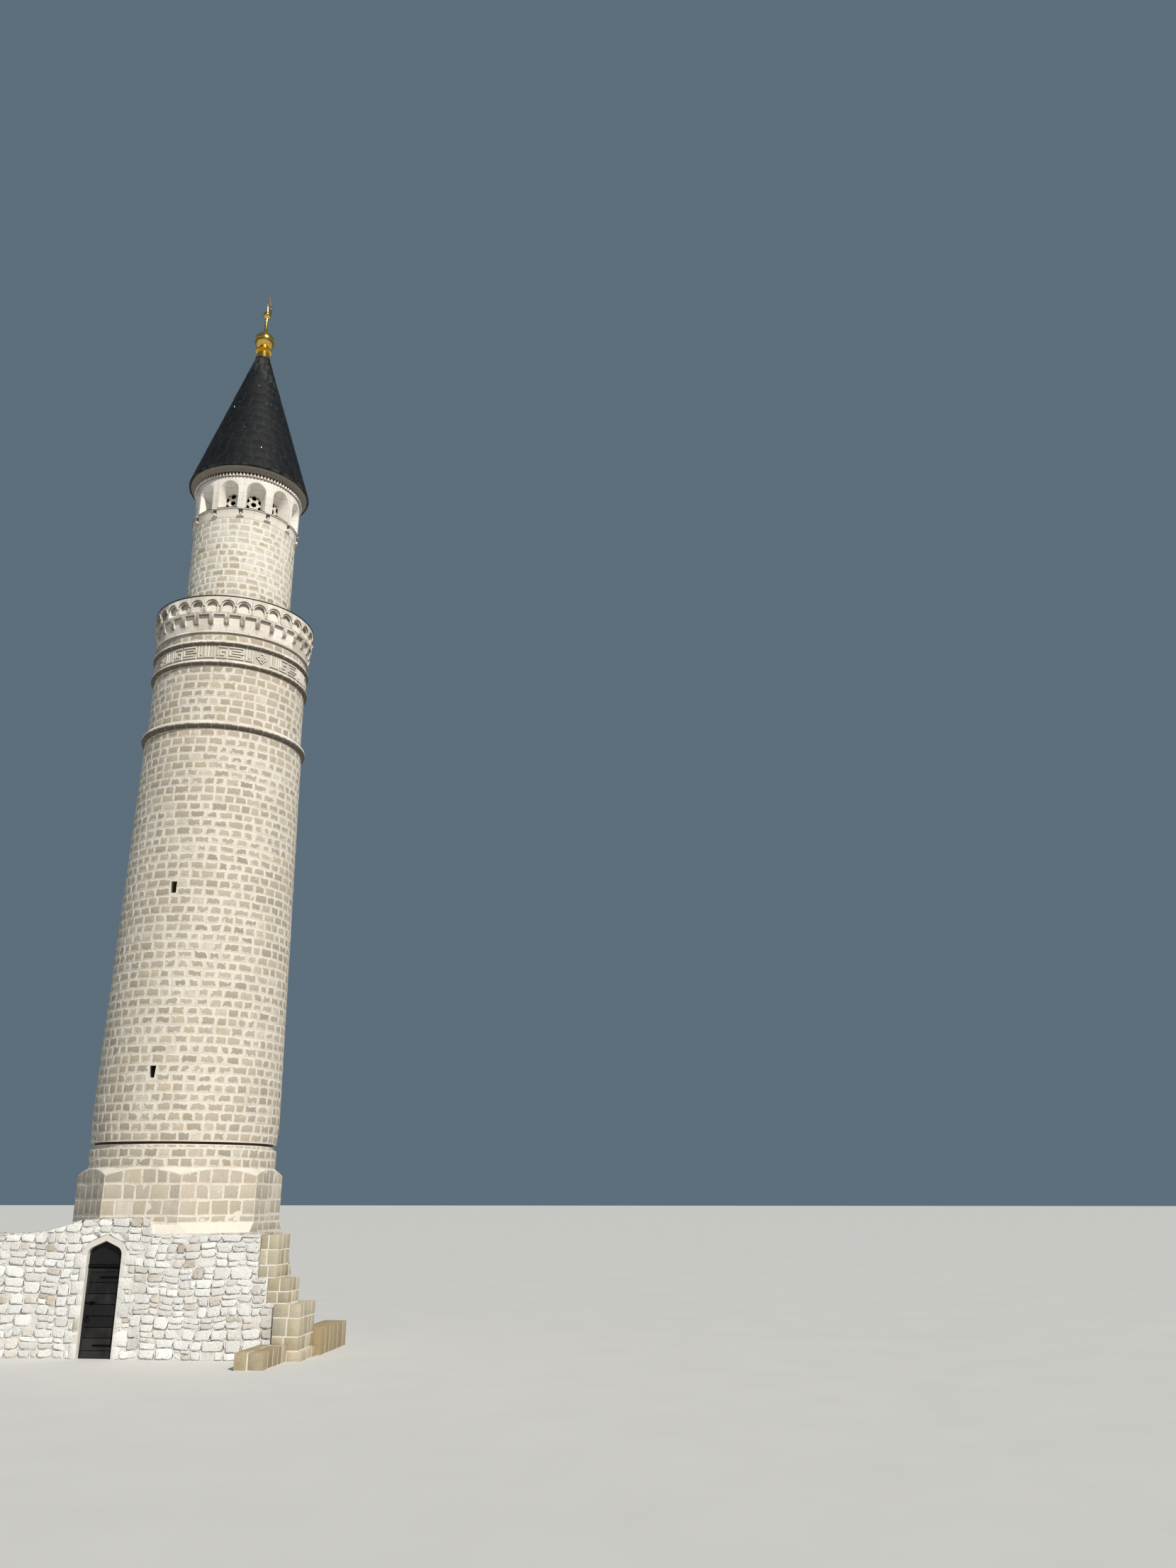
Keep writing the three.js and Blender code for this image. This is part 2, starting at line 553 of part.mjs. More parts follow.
// The lantern: a sill band, a ring of twelve splayed windows, and the pierced screens behind them
function lantern() {
  const band = ARCADE_FOOT - SILL_BAND_FOOT;
  const height = CORNICE_FOOT - ARCADE_FOOT;
  const { foot, face, lip, chamfer, under, lipFoot } = SILL_BAND;
  const bandBody = course(band, [[foot, 0], [face, chamfer], [face, band - under], [lip, band - lipFoot],
    [lip, band - GAP]], UPPER_DRUM.inner);
  const window = splayedWindow();
  const windows = [];
  const holes = [];
  for (let k = 0; k < ARCADE.bays; k += 1) {
    const heading = (k * 360) / ARCADE.bays;
    windows.push(window.rotate([0, 0, heading]));
    for (const [x, z] of SCREEN_HOLES) holes.push(screenHole(x, z).rotate([0, 0, heading]));
  }
  const arcade = course(height, [[ARCADE.radius, 0], [ARCADE.radius, height - GAP]], INNER, 2 * ARCADE.bays)
    .subtract(wasm.Manifold.union(windows));
  const outer = INNER - GAP;
  const screenOutline = [[outer, 0], [outer, SCREEN.top - GAP]];
  const screen = course(SCREEN.top, screenOutline, outer - SCREEN.thickness, 2 * ARCADE.bays)
    .subtract(wasm.Manifold.union(holes));
  return [
    stage(SILL_BAND_FOOT, piece('lantern_sill_band', bandBody, 'whiteStone')),
    stage(ARCADE_FOOT, piece('lantern_arcade', arcade, 'whiteStone')),
    stage(ARCADE_FOOT, piece('lantern_screens', screen, 'whiteStone')),
  ];
}

function roof() {
  const cornice = EAVE_FOOT - CORNICE_FOOT;
  const corniceBody = course(cornice, [...CORNICE_OUTLINE, [CORNICE_RIM, cornice - GAP]]);
  const { inner, foot, roll, rollFoot, rollTop, top } = EAVE;
  const eaveTop = ROOF_FOOT - EAVE_FOOT - GAP;
  const eave = turned([[inner, 0], [foot, 0], [roll, rollFoot], [roll, rollTop], [top, eaveTop],
    [inner, eaveTop]]);
  const rise = FINIAL_FOOT - ROOF_FOOT;
  const cone = turned([[ROOF.eave - ROOF.thickness, 0], [ROOF.eave, 0], [ROOF.top, rise - GAP],
    [ROOF.top - ROOF.thickness, rise - GAP]]);
  return [
    stage(CORNICE_FOOT, piece('cornice', corniceBody, 'whiteStone')),
    stage(EAVE_FOOT, piece('roof_eave', eave, 'roofing')),
    stage(ROOF_FOOT, piece('roof_cone', cone, 'roofing')),
  ];
}

// Points of a ball between two heights, in [radius, height] pairs
function ballArc(radius, centre, low, high, steps) {
  const points = [];
  const start = Math.asin((low - centre) / radius);
  const end = Math.asin((high - centre) / radius);
  for (let i = 0; i <= steps; i += 1) {
    const turn = start + ((end - start) * i) / steps;
    points.push([radius * Math.cos(turn), centre + radius * Math.sin(turn)]);
  }
  return points;
}

// The crescent, upright in its own plane beside the spike, with its opening up and to one side
function crescent(margin) {
  const { radius, inner, shift, opening, reach, rise, thickness, heading } = CRESCENT;
  const towards = (opening * Math.PI) / 180;
  const disc = (r, x, z, depth) => {
    const plate = new THREE.CylinderGeometry(r, r, depth, 28);
    plate.translate(reach + x, 0, SPIKE_TOP + rise + z);
    return solid(plate);
  };
  const outer = disc(radius + margin, 0, 0, thickness + 2 * margin);
  const hollow = disc(inner - margin, shift * Math.cos(towards), shift * Math.sin(towards), 2 * thickness);
  return outer.subtract(hollow).rotate([0, 0, heading]);
}

function finial() {
  const fine = 20;
  const seat = BALL.seat - GAP;
  const collar = turned([[0, 0], ...COLLAR_OUTLINE, [COLLAR_NECK, seat], [0, seat]], fine);
  const ball = turned([[0, BALL.seat], ...ballArc(BALL.radius, BALL.centre, BALL.seat, BALL.crown, 8),
    [0, BALL.crown]], fine);
  const { radius, centre, below, above } = SMALL_BALL;
  const foot = BALL.crown + GAP;
  const stem = turned([[0, foot], [STEM.foot, foot], [STEM.top, centre - above],
    ...ballArc(radius, centre, centre - below, centre + above, 6), [STEM.collar, centre + STEM.collarTop],
    [STEM.spike, SPIKE_TOP], [0, SPIKE_TOP]], 16).subtract(crescent(GAP));
  return stage(FINIAL_FOOT, piece('finial_collar', collar, 'gilding'), piece('finial_ball', ball, 'gilding'),
    piece('finial_stem', stem, 'gilding'), piece('finial_crescent', crescent(0), 'gilding'));
}

const minaret = new THREE.Group();
minaret.name = 'minaret';
minaret.add(
  ...baseWalls(),
  ...frontWalls(),
  rubbleCrest(),
  ...steppedEnd(),
  ...doorFrame(),
  ...doorLeaf(),
  octagonStage(),
  ...roundBase(),
  shaft(),
  ...neckAndFrieze(),
  corbelTable(),
  ...balcony(),
  ...lantern(),
  ...roof(),
  finial(),
);

export default minaret;
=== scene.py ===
"""The looks of a stone minaret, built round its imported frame.

Everything is in metres. The tower's axis is Z and its door side is -Y, with +X on the right of someone who
faces the door. A heading is an angle about the axis, in degrees, from the door side towards +X. A wall is
drawn flat first, as points along it, up it and out of it, and a surface then carries those points into place.
"""

from __future__ import annotations

import json
import logging
import math
from collections.abc import Callable, Iterator, Sequence
from contextlib import contextmanager
from dataclasses import dataclass, field
from enum import Enum
from functools import cached_property
from itertools import pairwise
from typing import ClassVar

import bmesh
import bpy
import numpy as np
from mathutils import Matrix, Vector

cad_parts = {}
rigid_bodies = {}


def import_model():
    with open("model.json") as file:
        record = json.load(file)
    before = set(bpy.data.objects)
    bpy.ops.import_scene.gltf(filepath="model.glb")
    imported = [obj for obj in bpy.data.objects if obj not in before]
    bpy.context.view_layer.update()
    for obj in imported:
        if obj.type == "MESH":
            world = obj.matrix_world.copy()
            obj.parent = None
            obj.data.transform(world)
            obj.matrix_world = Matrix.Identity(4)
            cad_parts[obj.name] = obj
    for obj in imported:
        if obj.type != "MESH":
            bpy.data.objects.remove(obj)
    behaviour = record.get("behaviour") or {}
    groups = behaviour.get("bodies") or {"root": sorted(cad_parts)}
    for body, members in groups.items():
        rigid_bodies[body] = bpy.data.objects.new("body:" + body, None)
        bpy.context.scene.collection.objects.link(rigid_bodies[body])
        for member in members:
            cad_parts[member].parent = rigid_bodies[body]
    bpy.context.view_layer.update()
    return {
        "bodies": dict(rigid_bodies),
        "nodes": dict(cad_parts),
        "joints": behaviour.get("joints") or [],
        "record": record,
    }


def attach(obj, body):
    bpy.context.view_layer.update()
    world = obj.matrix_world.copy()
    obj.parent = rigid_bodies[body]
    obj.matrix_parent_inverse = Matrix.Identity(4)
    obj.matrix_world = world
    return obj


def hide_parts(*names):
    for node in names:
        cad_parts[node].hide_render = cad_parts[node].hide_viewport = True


LOG = logging.getLogger("minaret")

Array = np.ndarray
Socket = bpy.types.NodeSocket
Colour = tuple[float, float, float]
Tones = tuple[tuple[float, Colour], ...]
Profile = Sequence[tuple[float, float]]
Surface = Callable[[Array, Array, Array], Array]
Line = Callable[[float], float]
Test = Callable[[Vector], bool]

EDGE_MAP = "stone_edge"
TINT = "stone_tint"
WELD = 1e-5
NEAR = 1e-3
SHARP = math.radians(40.0)
FULL_TURN = 360.0
ROUND_STEPS = 24
THINNEST_STONE = 0.018
SHORTEST_COURSE = 0.12
LEAST_SHARE = 0.12
UNIT_STEPS = (-0.5, -0.4, 0.4, 0.5)
TOWARDS_DOOR = (math.pi / 2, 0, 0)
MOULDED_JOINT = 0.006
MOULDED_EDGE = 0.004
MOULDED_STEPS = 5


class Part(Enum):
    """What an edit picks on a mesh."""

    FACES = "FACE"
    EDGES = "EDGE"
    POINTS = "VERT"


class Slot(Enum):
    """The material slots of the record."""

    RUBBLE = "limewashed_rubble"
    ASHLAR = "beige_ashlar"
    TAN = "tan_ashlar"
    WHITE = "white_stone"
    FLAGS = "stone_flags"
    IRON = "dark_iron"
    ROOF = "dark_roof_metal"
    GILT = "gilded_metal"


class Body(Enum):
    """The bodies that pieces ride on."""

    TOWER = "root"
    DOOR = "door"


@dataclass(frozen=True)
class Form:
    """A shape kept as arrays, so that it can be copied many times.

    Attributes:
        points: The place of each point, as rows of three.
        corners: The point at each face corner, face after face.
        sizes: The number of corners of each face.
    """

    points: Array
    corners: Array
    sizes: Array


def deselect() -> None:
    """Leaves object mode with nothing selected."""
    if bpy.context.object and bpy.context.object.mode != "OBJECT":
        bpy.ops.object.mode_set(mode="OBJECT")
    bpy.ops.object.select_all(action="DESELECT")


class Workpiece:
    """One mesh on the bench, shaped by edit-mode operators."""

    def __init__(self, obj: bpy.types.Object | None = None) -> None:
        """Takes a piece.

        Args:
            obj: Its object, or None for the one that an operator has just added.
        """
        if obj is None:
            bpy.ops.object.transform_apply(location=True, rotation=True, scale=True)
        self.obj = obj or bpy.context.object

    @classmethod
    def added(cls, operator: Callable, **settings: object) -> Workpiece:
        """Adds a simple mesh.

        Args:
            operator: What adds it.
            **settings: The operator's settings.

        Returns:
            The mesh on the bench.
        """
        deselect()
        operator(**settings)
        return cls()

    @classmethod
    def box(cls, low: Sequence[float], high: Sequence[float]) -> Workpiece:
        """Adds a box between its lowest and its highest corner."""
        middle, size = (np.array(low) + high) / 2, np.subtract(high, low)
        return cls.added(bpy.ops.mesh.primitive_cube_add, size=1, location=middle, scale=size)

    @staticmethod
    def outlined(route: Sequence[Vector]) -> None:
        """Draws a closed outline point by point, and leaves it open in edit mode, all selected.

        Args:
            route: The outline's points.
        """
        deselect()
        bpy.ops.mesh.primitive_plane_add(size=1, location=route[0], enter_editmode=True)
        bpy.ops.mesh.select_mode(type="VERT")
        bpy.ops.mesh.select_all(action="SELECT")
        bpy.ops.mesh.merge(type="CENTER")
        for start, end in pairwise([*route, route[0]]):
            bpy.ops.mesh.extrude_vertices_move(TRANSFORM_OT_translate={"value": end - start})
        bpy.ops.mesh.select_all(action="SELECT")
        bpy.ops.mesh.remove_doubles(threshold=WELD)

    @classmethod
    def closed(cls) -> Workpiece:
        """Welds what is open in edit mode.

        Returns:
            The piece, with its faces outwards.
        """
        bpy.ops.mesh.select_all(action="SELECT")
        bpy.ops.mesh.remove_doubles(threshold=WELD)
        bpy.ops.mesh.normals_make_consistent(inside=False)
        bpy.ops.object.mode_set(mode="OBJECT")
        return cls()

    @classmethod
    def traced(cls, points: Sequence[Sequence[float]], depth: Sequence[float]) -> Workpiece:
        """Draws a flat outline point by point, and makes it a block.

        Args:
            points: The outline's points.
            depth: How far the outline is carried.

        Returns:
            The block on the bench.
        """
        cls.outlined([Vector(p) for p in points])
        bpy.ops.mesh.edge_face_add()
        bpy.ops.mesh.extrude_region_move(TRANSFORM_OT_translate={"value": depth})
        return cls.closed()

    @classmethod
    def panel(cls, outline: Profile, face: float, depth: float) -> Workpiece:
        """Makes a block of an outline across and up, which runs back from its face by its depth."""
        return cls.traced([(x, face, z) for x, z in outline], (0, depth, 0))

    @classmethod
    def turned(cls, profile: Profile, steps: int = 128, sweep: float = FULL_TURN) -> Workpiece:
        """Spins a closed profile about the tower's axis.

        Args:
            profile: The [radius, height] points of the profile.
            steps: How many steps the spin has.
            sweep: How far it turns, in degrees. A part turn is centred on the door side.

        Returns:
            The round piece on the bench.
        """
        start = math.radians(sweep / 2 if sweep < FULL_TURN else 0)
        cls.outlined([Vector((r * math.sin(start), -r * math.cos(start), z)) for r, z in profile])
        if sweep < FULL_TURN:
            bpy.ops.mesh.edge_face_add()
        bpy.ops.mesh.spin(steps=steps, angle=math.radians(sweep), center=(0, 0, 0), axis=(0, 0, 1))
        return cls.closed()

    @classmethod
    def tube(cls, inner: float, *outer: tuple[float, float], **spin: float) -> Workpiece:
        """Turns a ring that is upright inside, and follows [radius, height] points outside."""
        return cls.turned([(inner, outer[0][1]), *outer, (inner, outer[-1][1])], **spin)

    def choose(self) -> None:
        """Selects the piece alone and makes it active."""
        deselect()
        self.obj.select_set(True)
        bpy.context.view_layer.objects.active = self.obj

    @contextmanager
    def picked(self, kind: Part, test: Test = lambda place: True) -> Iterator[None]:
        """Opens edit mode with what passes a test selected, and closes it after.

        Args:
            kind: Faces, edges or points.
            test: Takes the middle of each, and says if it is picked.

        Yields:
            Nothing, with edit mode open.
        """
        self.choose()
        bpy.ops.object.mode_set(mode="EDIT")
        bpy.ops.mesh.select_mode(type=kind.value)
        bpy.ops.mesh.select_all(action="DESELECT")
        mesh = bmesh.from_edit_mesh(self.obj.data)
        for item in {Part.FACES: mesh.faces, Part.EDGES: mesh.edges, Part.POINTS: mesh.verts}[kind]:
            places = [item.co] if kind is Part.POINTS else [point.co for point in item.verts]
            item.select_set(test(sum(places, Vector()) / len(places)))
        mesh.select_flush_mode()
        bmesh.update_edit_mesh(self.obj.data)
        yield
        bpy.ops.object.mode_set(mode="OBJECT")

    def moved(self, test: Test, way: Sequence[float]) -> Workpiece:
        """Moves the points that pass a test.

        Args:
            test: Takes each point's place, and says if it moves.
            way: How far they move.

        Returns:
            The same piece.
        """
        with self.picked(Part.POINTS, test):
            bpy.ops.transform.translate(value=way)
        return self

    def softened(self, width: float, segments: int = 1) -> Workpiece:
        """Bevels the sharp edges to a width, in so many segments."""
        return self.modified("BEVEL", width=width, segments=segments, limit_method="ANGLE", angle_limit=SHARP)

    def modified(self, kind: str, **settings: object) -> Workpiece:
        """Adds a modifier and applies it.

        Args:
            kind: The modifier's type.
            **settings: Its settings.

        Returns:
            The same piece.
        """
        self.choose()
        modifier = self.obj.modifiers.new(kind.lower(), kind)
        for key, value in settings.items():
            setattr(modifier, key, value)
        bpy.ops.object.modifier_apply(modifier=modifier.name)
        return self

    def cut_by(self, cutter: Workpiece) -> Workpiece:
        """Cuts another piece out of this one, and clears the cutter away.

        Args:
            cutter: The piece that is cut out.

        Returns:
            The same piece.
        """
        self.modified("BOOLEAN", operation="DIFFERENCE", solver="EXACT", object=cutter.obj)
        cutter.cleared()
        return self

    def backed(self, rim: Test, depth: float) -> Form:
        """Gives a face its sides and its back.

        Args:
            rim: Says which edges are the outer ones.
            depth: How far back they are carried.

        Returns:
            The closed form.
        """
        with self.picked(Part.EDGES, rim):
            bpy.ops.mesh.extrude_region_move(TRANSFORM_OT_translate={"value": (0, 0, -depth)})
            bpy.ops.mesh.edge_face_add()
        with self.picked(Part.FACES):
            bpy.ops.mesh.normals_make_consistent(inside=False)
        return self.form()

    def cleared(self) -> None:
        """Takes the piece off the bench."""
        mesh = self.obj.data
        bpy.data.objects.remove(self.obj)
        bpy.data.meshes.remove(mesh)

    def form(self) -> Form:
        """Takes the piece off the bench as arrays.

        Returns:
            The form.
        """
        mesh = self.obj.data
        points = np.empty(3 * len(mesh.vertices))
        corners = np.empty(len(mesh.loops), np.int32)
        sizes = np.empty(len(mesh.polygons), np.int32)
        mesh.vertices.foreach_get("co", points)
        mesh.loops.foreach_get("vertex_index", corners)
        mesh.polygons.foreach_get("loop_total", sizes)
        self.cleared()
        return Form(points.reshape(-1, 3), corners, sizes)


class Gathering:
    """Copies of forms, gathered into one mesh."""

    def __init__(self) -> None:
        """Starts with nothing gathered."""
        self.copies: list[tuple[Array, ...]] = []
        self.count = 0

    def add(
        self, form: Form, points: Array, edge: Array | None = None, tint: Sequence[float] = (0.5, 0.5, 0.5)
    ) -> None:
        """Adds one copy.

        Args:
            form: The form that is copied.
            points: Where its points go.
            edge: How far each point is from the stone's upright and level edges, or None.
            tint: The copy's hue, value and seed, each from 0 to 1.
        """
        edges = (np.full((len(points), 2), 1.0) if edge is None else edge)[form.corners]
        tints = np.tile([*tint, 1.0], (len(points), 1))
        self.copies.append((points, form.corners + self.count, form.sizes, edges, tints))
        self.count += len(points)

    def piece(self) -> Workpiece:
        """Makes the mesh.

        Returns:
            The gathered copies as one piece.
        """
        points, corners, sizes, edges, tints = map(np.concatenate, zip(*self.copies, strict=True))
        mesh = bpy.data.meshes.new("gathering")
        mesh.vertices.add(self.count)
        mesh.vertices.foreach_set("co", points.ravel())
        mesh.loops.add(len(corners))
        mesh.loops.foreach_set("vertex_index", corners)
        mesh.polygons.add(len(sizes))
        mesh.polygons.foreach_set("loop_start", np.concatenate([[0], np.cumsum(sizes)[:-1]]).astype(np.int32))
        mesh.uv_layers.new(name=EDGE_MAP).data.foreach_set("uv", edges.ravel())
        mesh.color_attributes.new(TINT, "FLOAT_COLOR", "POINT").data.foreach_set("color", tints.ravel())
        mesh.update(calc_edges=True)
        mesh.validate()
        obj = bpy.data.objects.new("gathering", mesh)
        bpy.context.scene.collection.objects.link(obj)
        return Workpiece(obj)


class Shading:
    """The node tree of one finish."""

    def __init__(self, name: str) -> None:
        """Starts a material with its shader alone.

        Args:
            name: The material's name.
        """
        self.material = bpy.data.materials.new(name)
        self.material.use_nodes = True
        self.tree = self.material.node_tree
        self.place = self.node("ShaderNodeTexCoord", {}, "Object")

    def join(self, sockets: Sequence[Socket], values: dict) -> None:
        """Links or sets sockets.

        Args:
            sockets: The node's inputs.
            values: What each is given, by name or number. A socket is linked and another value is set.
        """
        for key, value in values.items():
            if isinstance(value, Socket):
                self.tree.links.new(value, sockets[key])
            else:
                sockets[key].default_value = value

    def node(self, kind: str, inputs: dict, output: str | int = 0, **settings: object) -> Socket:
        """Adds a node.

        Args:
            kind: The node's type.
            inputs: What its inputs are given.
            output: Which of its outputs is wanted.
            **settings: Its own settings.

        Returns:
            The output.
        """
        node = self.tree.nodes.new(kind)
        for key, value in settings.items():
            setattr(node, key, value)
        self.join(node.inputs, inputs)
        return node.outputs[output]

    def done(self, **values: object) -> bpy.types.Material:
        """Gives the shader its sockets and ends the material.

        Args:
            values: The values and sockets, with underscores for the spaces in their names.

        Returns:
            The material.
        """
        sockets = self.tree.nodes["Principled BSDF"].inputs
        self.join(sockets, {key.replace("_", " "): value for key, value in values.items()})
        return self.material

    def tints(self) -> Sequence[Socket]:
        """A stone's own hue, value and seed."""
        tint = self.node("ShaderNodeAttribute", {}, "Color", attribute_name=TINT)
        return self.node("ShaderNodeSeparateColor", {"Color": tint}).node.outputs

    def axes(self, vector: Socket) -> Sequence[Socket]:
        """The three numbers of a vector."""
        return self.node("ShaderNodeSeparateXYZ", {0: vector}).node.outputs

    def nearest_edge(self) -> Socket:
        """How far the nearest edge of the stone is."""
        edges = self.axes(self.node("ShaderNodeUVMap", {}, uv_map=EDGE_MAP))
        return self.calc("MINIMUM", edges[0], edges[1])

    def noise(
        self, scale: float, detail: float = 3.0, vector: Socket | None = None, stretch: Colour | None = None
    ) -> Socket:
        """Adds a noise from 0 to 1.

        Args:
            scale: Its scale, per metre.
            detail: Its detail.
            vector: Where it is read, or None for the object's own coordinates.
            stretch: A scale for each axis, or None.

        Returns:
            The noise.
        """
        vector = vector or self.place
        if stretch is not None:
            vector = self.node("ShaderNodeMapping", {"Vector": vector, "Scale": stretch})
        return self.node("ShaderNodeTexNoise", {"Vector": vector, "Scale": scale, "Detail": detail}, "Fac")

    def calc(self, operation: str, *numbers: object) -> Socket:
        """Works a sum on numbers."""
        return self.node("ShaderNodeMath", dict(enumerate(numbers)), operation=operation)

    def mul(self, *numbers: object) -> Socket:
        """The product of two numbers."""
        return self.calc("MULTIPLY", *numbers)

    def fma(self, *numbers: object) -> Socket:
        """The product of two numbers, with a third added."""
        return self.calc("MULTIPLY_ADD", *numbers)

    def sub(self, *numbers: object) -> Socket:
        """The first number less the second."""
        return self.calc("SUBTRACT", *numbers)

    def span(self, value: Socket, low: float, high: float) -> Socket:
        """Stretches the part of a number between two limits to 0 to 1, smoothly."""
        limits = {"Value": value, "From Min": low, "From Max": high}
        return self.node("ShaderNodeMapRange", limits, "Result", interpolation_type="SMOOTHSTEP")

    def ramp(self, value: Socket, stops: Tones) -> Socket:
        """Turns a number into a colour.

        Args:
            value: The number.
            stops: The place and colour of each stop.

        Returns:
            The colour.
        """
        colour = self.node("ShaderNodeValToRGB", {"Fac": value}, "Color")
        elements = colour.node.color_ramp.elements
        while len(elements) < len(stops):
            elements.new(0.5)
        for element, (place, tone) in zip(elements, stops, strict=True):
            element.position = place
            element.color = (*tone, 1)
        return colour

    def mix(self, share: float | Socket, a: Socket | Colour, b: Socket | Colour, way: str = "MIX") -> Socket:
        """Mixes a share of a second colour into a first."""
        colours = {k: tone if isinstance(tone, Socket) else (*tone, 1) for k, tone in ((6, a), (7, b))}
        return self.node("ShaderNodeMix", {0: share, **colours}, 2, data_type="RGBA", blend_type=way)

    def bump(self, height: Socket, distance: float, under: Socket | None = None) -> Socket:
        """Adds a bump of a relief and its depth in metres, over another where one is given."""
        normal = {} if under is None else {"Normal": under}
        return self.node("ShaderNodeBump", {"Height": height, "Distance": distance, **normal})


@dataclass(frozen=True)
class StoneFinish:
    """Stone, with each block's own tone and mortar that creeps over its edges.

    Attributes:
        name: The material's name.
        tones: The colours that blocks have, by their hue.
        mortar: The mortar's colour.
        creep: How far mortar reaches over a block's edge.
        shade: How much blocks differ in value.
        grime: How much dark weathering shows, from 0 to 1.
        grime_tone: The weathering's colour.
        worn: How much of a block's tone patches vary.
        relief: The depth of the tooled face.
        veins: How much level bedding shows, from 0 to 1.
        courses: The length and height of fine-jointed blocks round the axis, or None.
        darkened_below: How much the faces that look down are darkened, from 0 to 1, partly as a weathered
            deposit and partly as painted shade.
        crust_and_shade: The colour of that deposit and painted shade.
        girth: The radius at which a fine-jointed block has its length.
    """

    name: str
    tones: Tones
    mortar: Colour = (0.76, 0.705, 0.61)
    creep: float = 0.0
    shade: float = 0.3
    grime: float = 0.3
    grime_tone: Colour = (0.23, 0.2, 0.16)
    worn: float = 0.35
    relief: float = 0.006
    veins: float = 0.0
    courses: tuple[float, float] | None = None
    darkened_below: float = 0.0
    crust_and_shade: Colour = (0.11, 0.085, 0.062)
    girth: float = 1.5

    def material(self) -> bpy.types.Material:
        """Builds the material.

        Returns:
            The material.
        """
        s = Shading(self.name)
        own_hue, own_value, own_seed = s.tints()
        place = s.node("ShaderNodeVectorMath", {0: s.place, 1: s.mul(own_seed, 40.0)}, operation="ADD")
        patches = s.noise(7.0, 4.0, place)
        stone = s.ramp(s.fma(s.sub(patches, 0.5), self.worn, own_hue), self.tones)
        if self.veins:
            bedding = s.noise(4.0, 5.0, place, stretch=(1.2, 1.2, 9.0))
            stone = s.mix(s.mul(s.span(bedding, 0.52, 0.72), self.veins), stone, self.grime_tone)
        value = s.fma(own_value, self.shade, 1 - self.shade / 2)
        stone = s.mix(1.0, stone, s.mul(value, s.fma(s.noise(60.0, 5.0, place), 0.35, 0.82)), "MULTIPLY")
        pits = s.span(s.noise(34.0, 2.0, place), 0.62, 0.74)
        stone = s.mix(s.mul(pits, 0.45), stone, self.grime_tone)
        tooled = s.calc("ADD", s.noise(26.0, 4.0, place), s.mul(s.noise(120.0, 3.0, place), 0.35))
        height = s.sub(tooled, s.mul(pits, 0.35))
        if self.creep:
            broad = s.span(s.noise(0.8), 0.35, 0.7)
            reach = s.mul(s.calc("POWER", s.noise(10.0, 4.0), 2.2), 4.5 * self.creep)
            reach = s.mul(reach, s.fma(broad, 0.9, 0.6))
            ragged = s.mul(s.sub(s.noise(38.0, 5.0), 0.5), 0.035)
            cover = s.span(s.sub(s.calc("ADD", reach, ragged), s.nearest_edge()), -0.003, 0.004)
            smear = s.mix(s.noise(30.0, 4.0), self.mortar, tuple(0.82 * c for c in self.mortar))
            stone = s.mix(cover, stone, smear)
            height = s.fma(cover, 0.5, s.mul(height, 0.8))
        if self.courses:
            blocks, line = self.jointed(s)
            stone = s.mix(1.0, stone, blocks, "MULTIPLY")
            stone = s.mix(s.mul(line, 0.06), stone, self.grime_tone)
            height = s.fma(line, -0.02, height)
        # Faces that look down are darkened towards a dark brown, broken up by noise: partly a weathered
        # deposit, partly painted shade where the sun does not reach.
        if self.darkened_below:
            down = s.mul(s.axes(s.node("ShaderNodeNewGeometry", {}, "Normal"))[2], -1.0)
            crust_and_shade = s.fma(s.noise(11.0, 6.0), 0.8, s.sub(down, 0.8 - 0.6 * self.darkened_below))
            stone = s.mix(s.mul(s.span(crust_and_shade, 0.05, 0.45), self.darkened_below), stone, self.crust_and_shade)
        dirt = s.mul(s.span(s.noise(1.6, 6.0, stretch=(1.0, 1.0, 0.18)), 0.5, 0.78), self.grime)
        return s.done(
            Base_Color=s.mix(dirt, stone, self.grime_tone),
            Roughness=s.fma(patches, 0.2, 0.78),
            Specular_IOR_Level=0.25,
            Normal=s.bump(height, self.relief),
        )

    def jointed(self, s: Shading) -> tuple[Socket, Socket]:
        """Draws the fine joints of blocks that stand round the axis.

        Args:
            s: The finish's nodes.

        Returns:
            The blocks' shades, and the joints as 1 on 0.
        """
        x, y, z = s.axes(s.place)
        turn = s.calc("ARCTAN2", x, s.mul(y, -1.0))
        flat = s.node("ShaderNodeCombineXYZ", {0: s.mul(turn, self.girth), 1: z})
        long, tall = self.courses
        inputs = {
            "Vector": flat, "Scale": 1.0, "Mortar Size": 0.004, "Mortar Smooth": 0.3, "Bias": 0.0,
            "Brick Width": long, "Row Height": tall, "Color1": (0.92, 0.92, 0.92, 1),
            "Color2": (1.0, 0.99, 0.97, 1), "Mortar": (0.58, 0.55, 0.51, 1),
        }
        blocks = s.node("ShaderNodeTexBrick", inputs, "Color")
        return blocks, blocks.node.outputs["Fac"]


@dataclass(frozen=True)
class MortarFinish:
    """Lime mortar between stones.

    Attributes:
        name: The material's name.
        tone: Its colour.
        dark: The colour of its hollows and stains.
        stain: How much stains show.
    """

    name: str
    tone: Colour = (0.76, 0.705, 0.61)
    dark: Colour = (0.45, 0.4, 0.32)
    stain: float = 0.45

    def material(self) -> bpy.types.Material:
        """Builds the material.

        Returns:
            The material.
        """
        s = Shading(self.name)
        crumbs = s.noise(55.0, 4.0)
        tone = s.mix(s.mul(s.span(s.noise(2.2, 6.0), 0.45, 0.75), self.stain), self.tone, self.dark)
        tone = s.mix(s.mul(s.span(crumbs, 0.55, 0.7), 0.4), tone, self.dark)
        height = s.calc("ADD", crumbs, s.mul(s.noise(12.0, 4.0), 1.4))
        return s.done(Base_Color=tone, Roughness=0.94, Specular_IOR_Level=0.2, Normal=s.bump(height, 0.012))


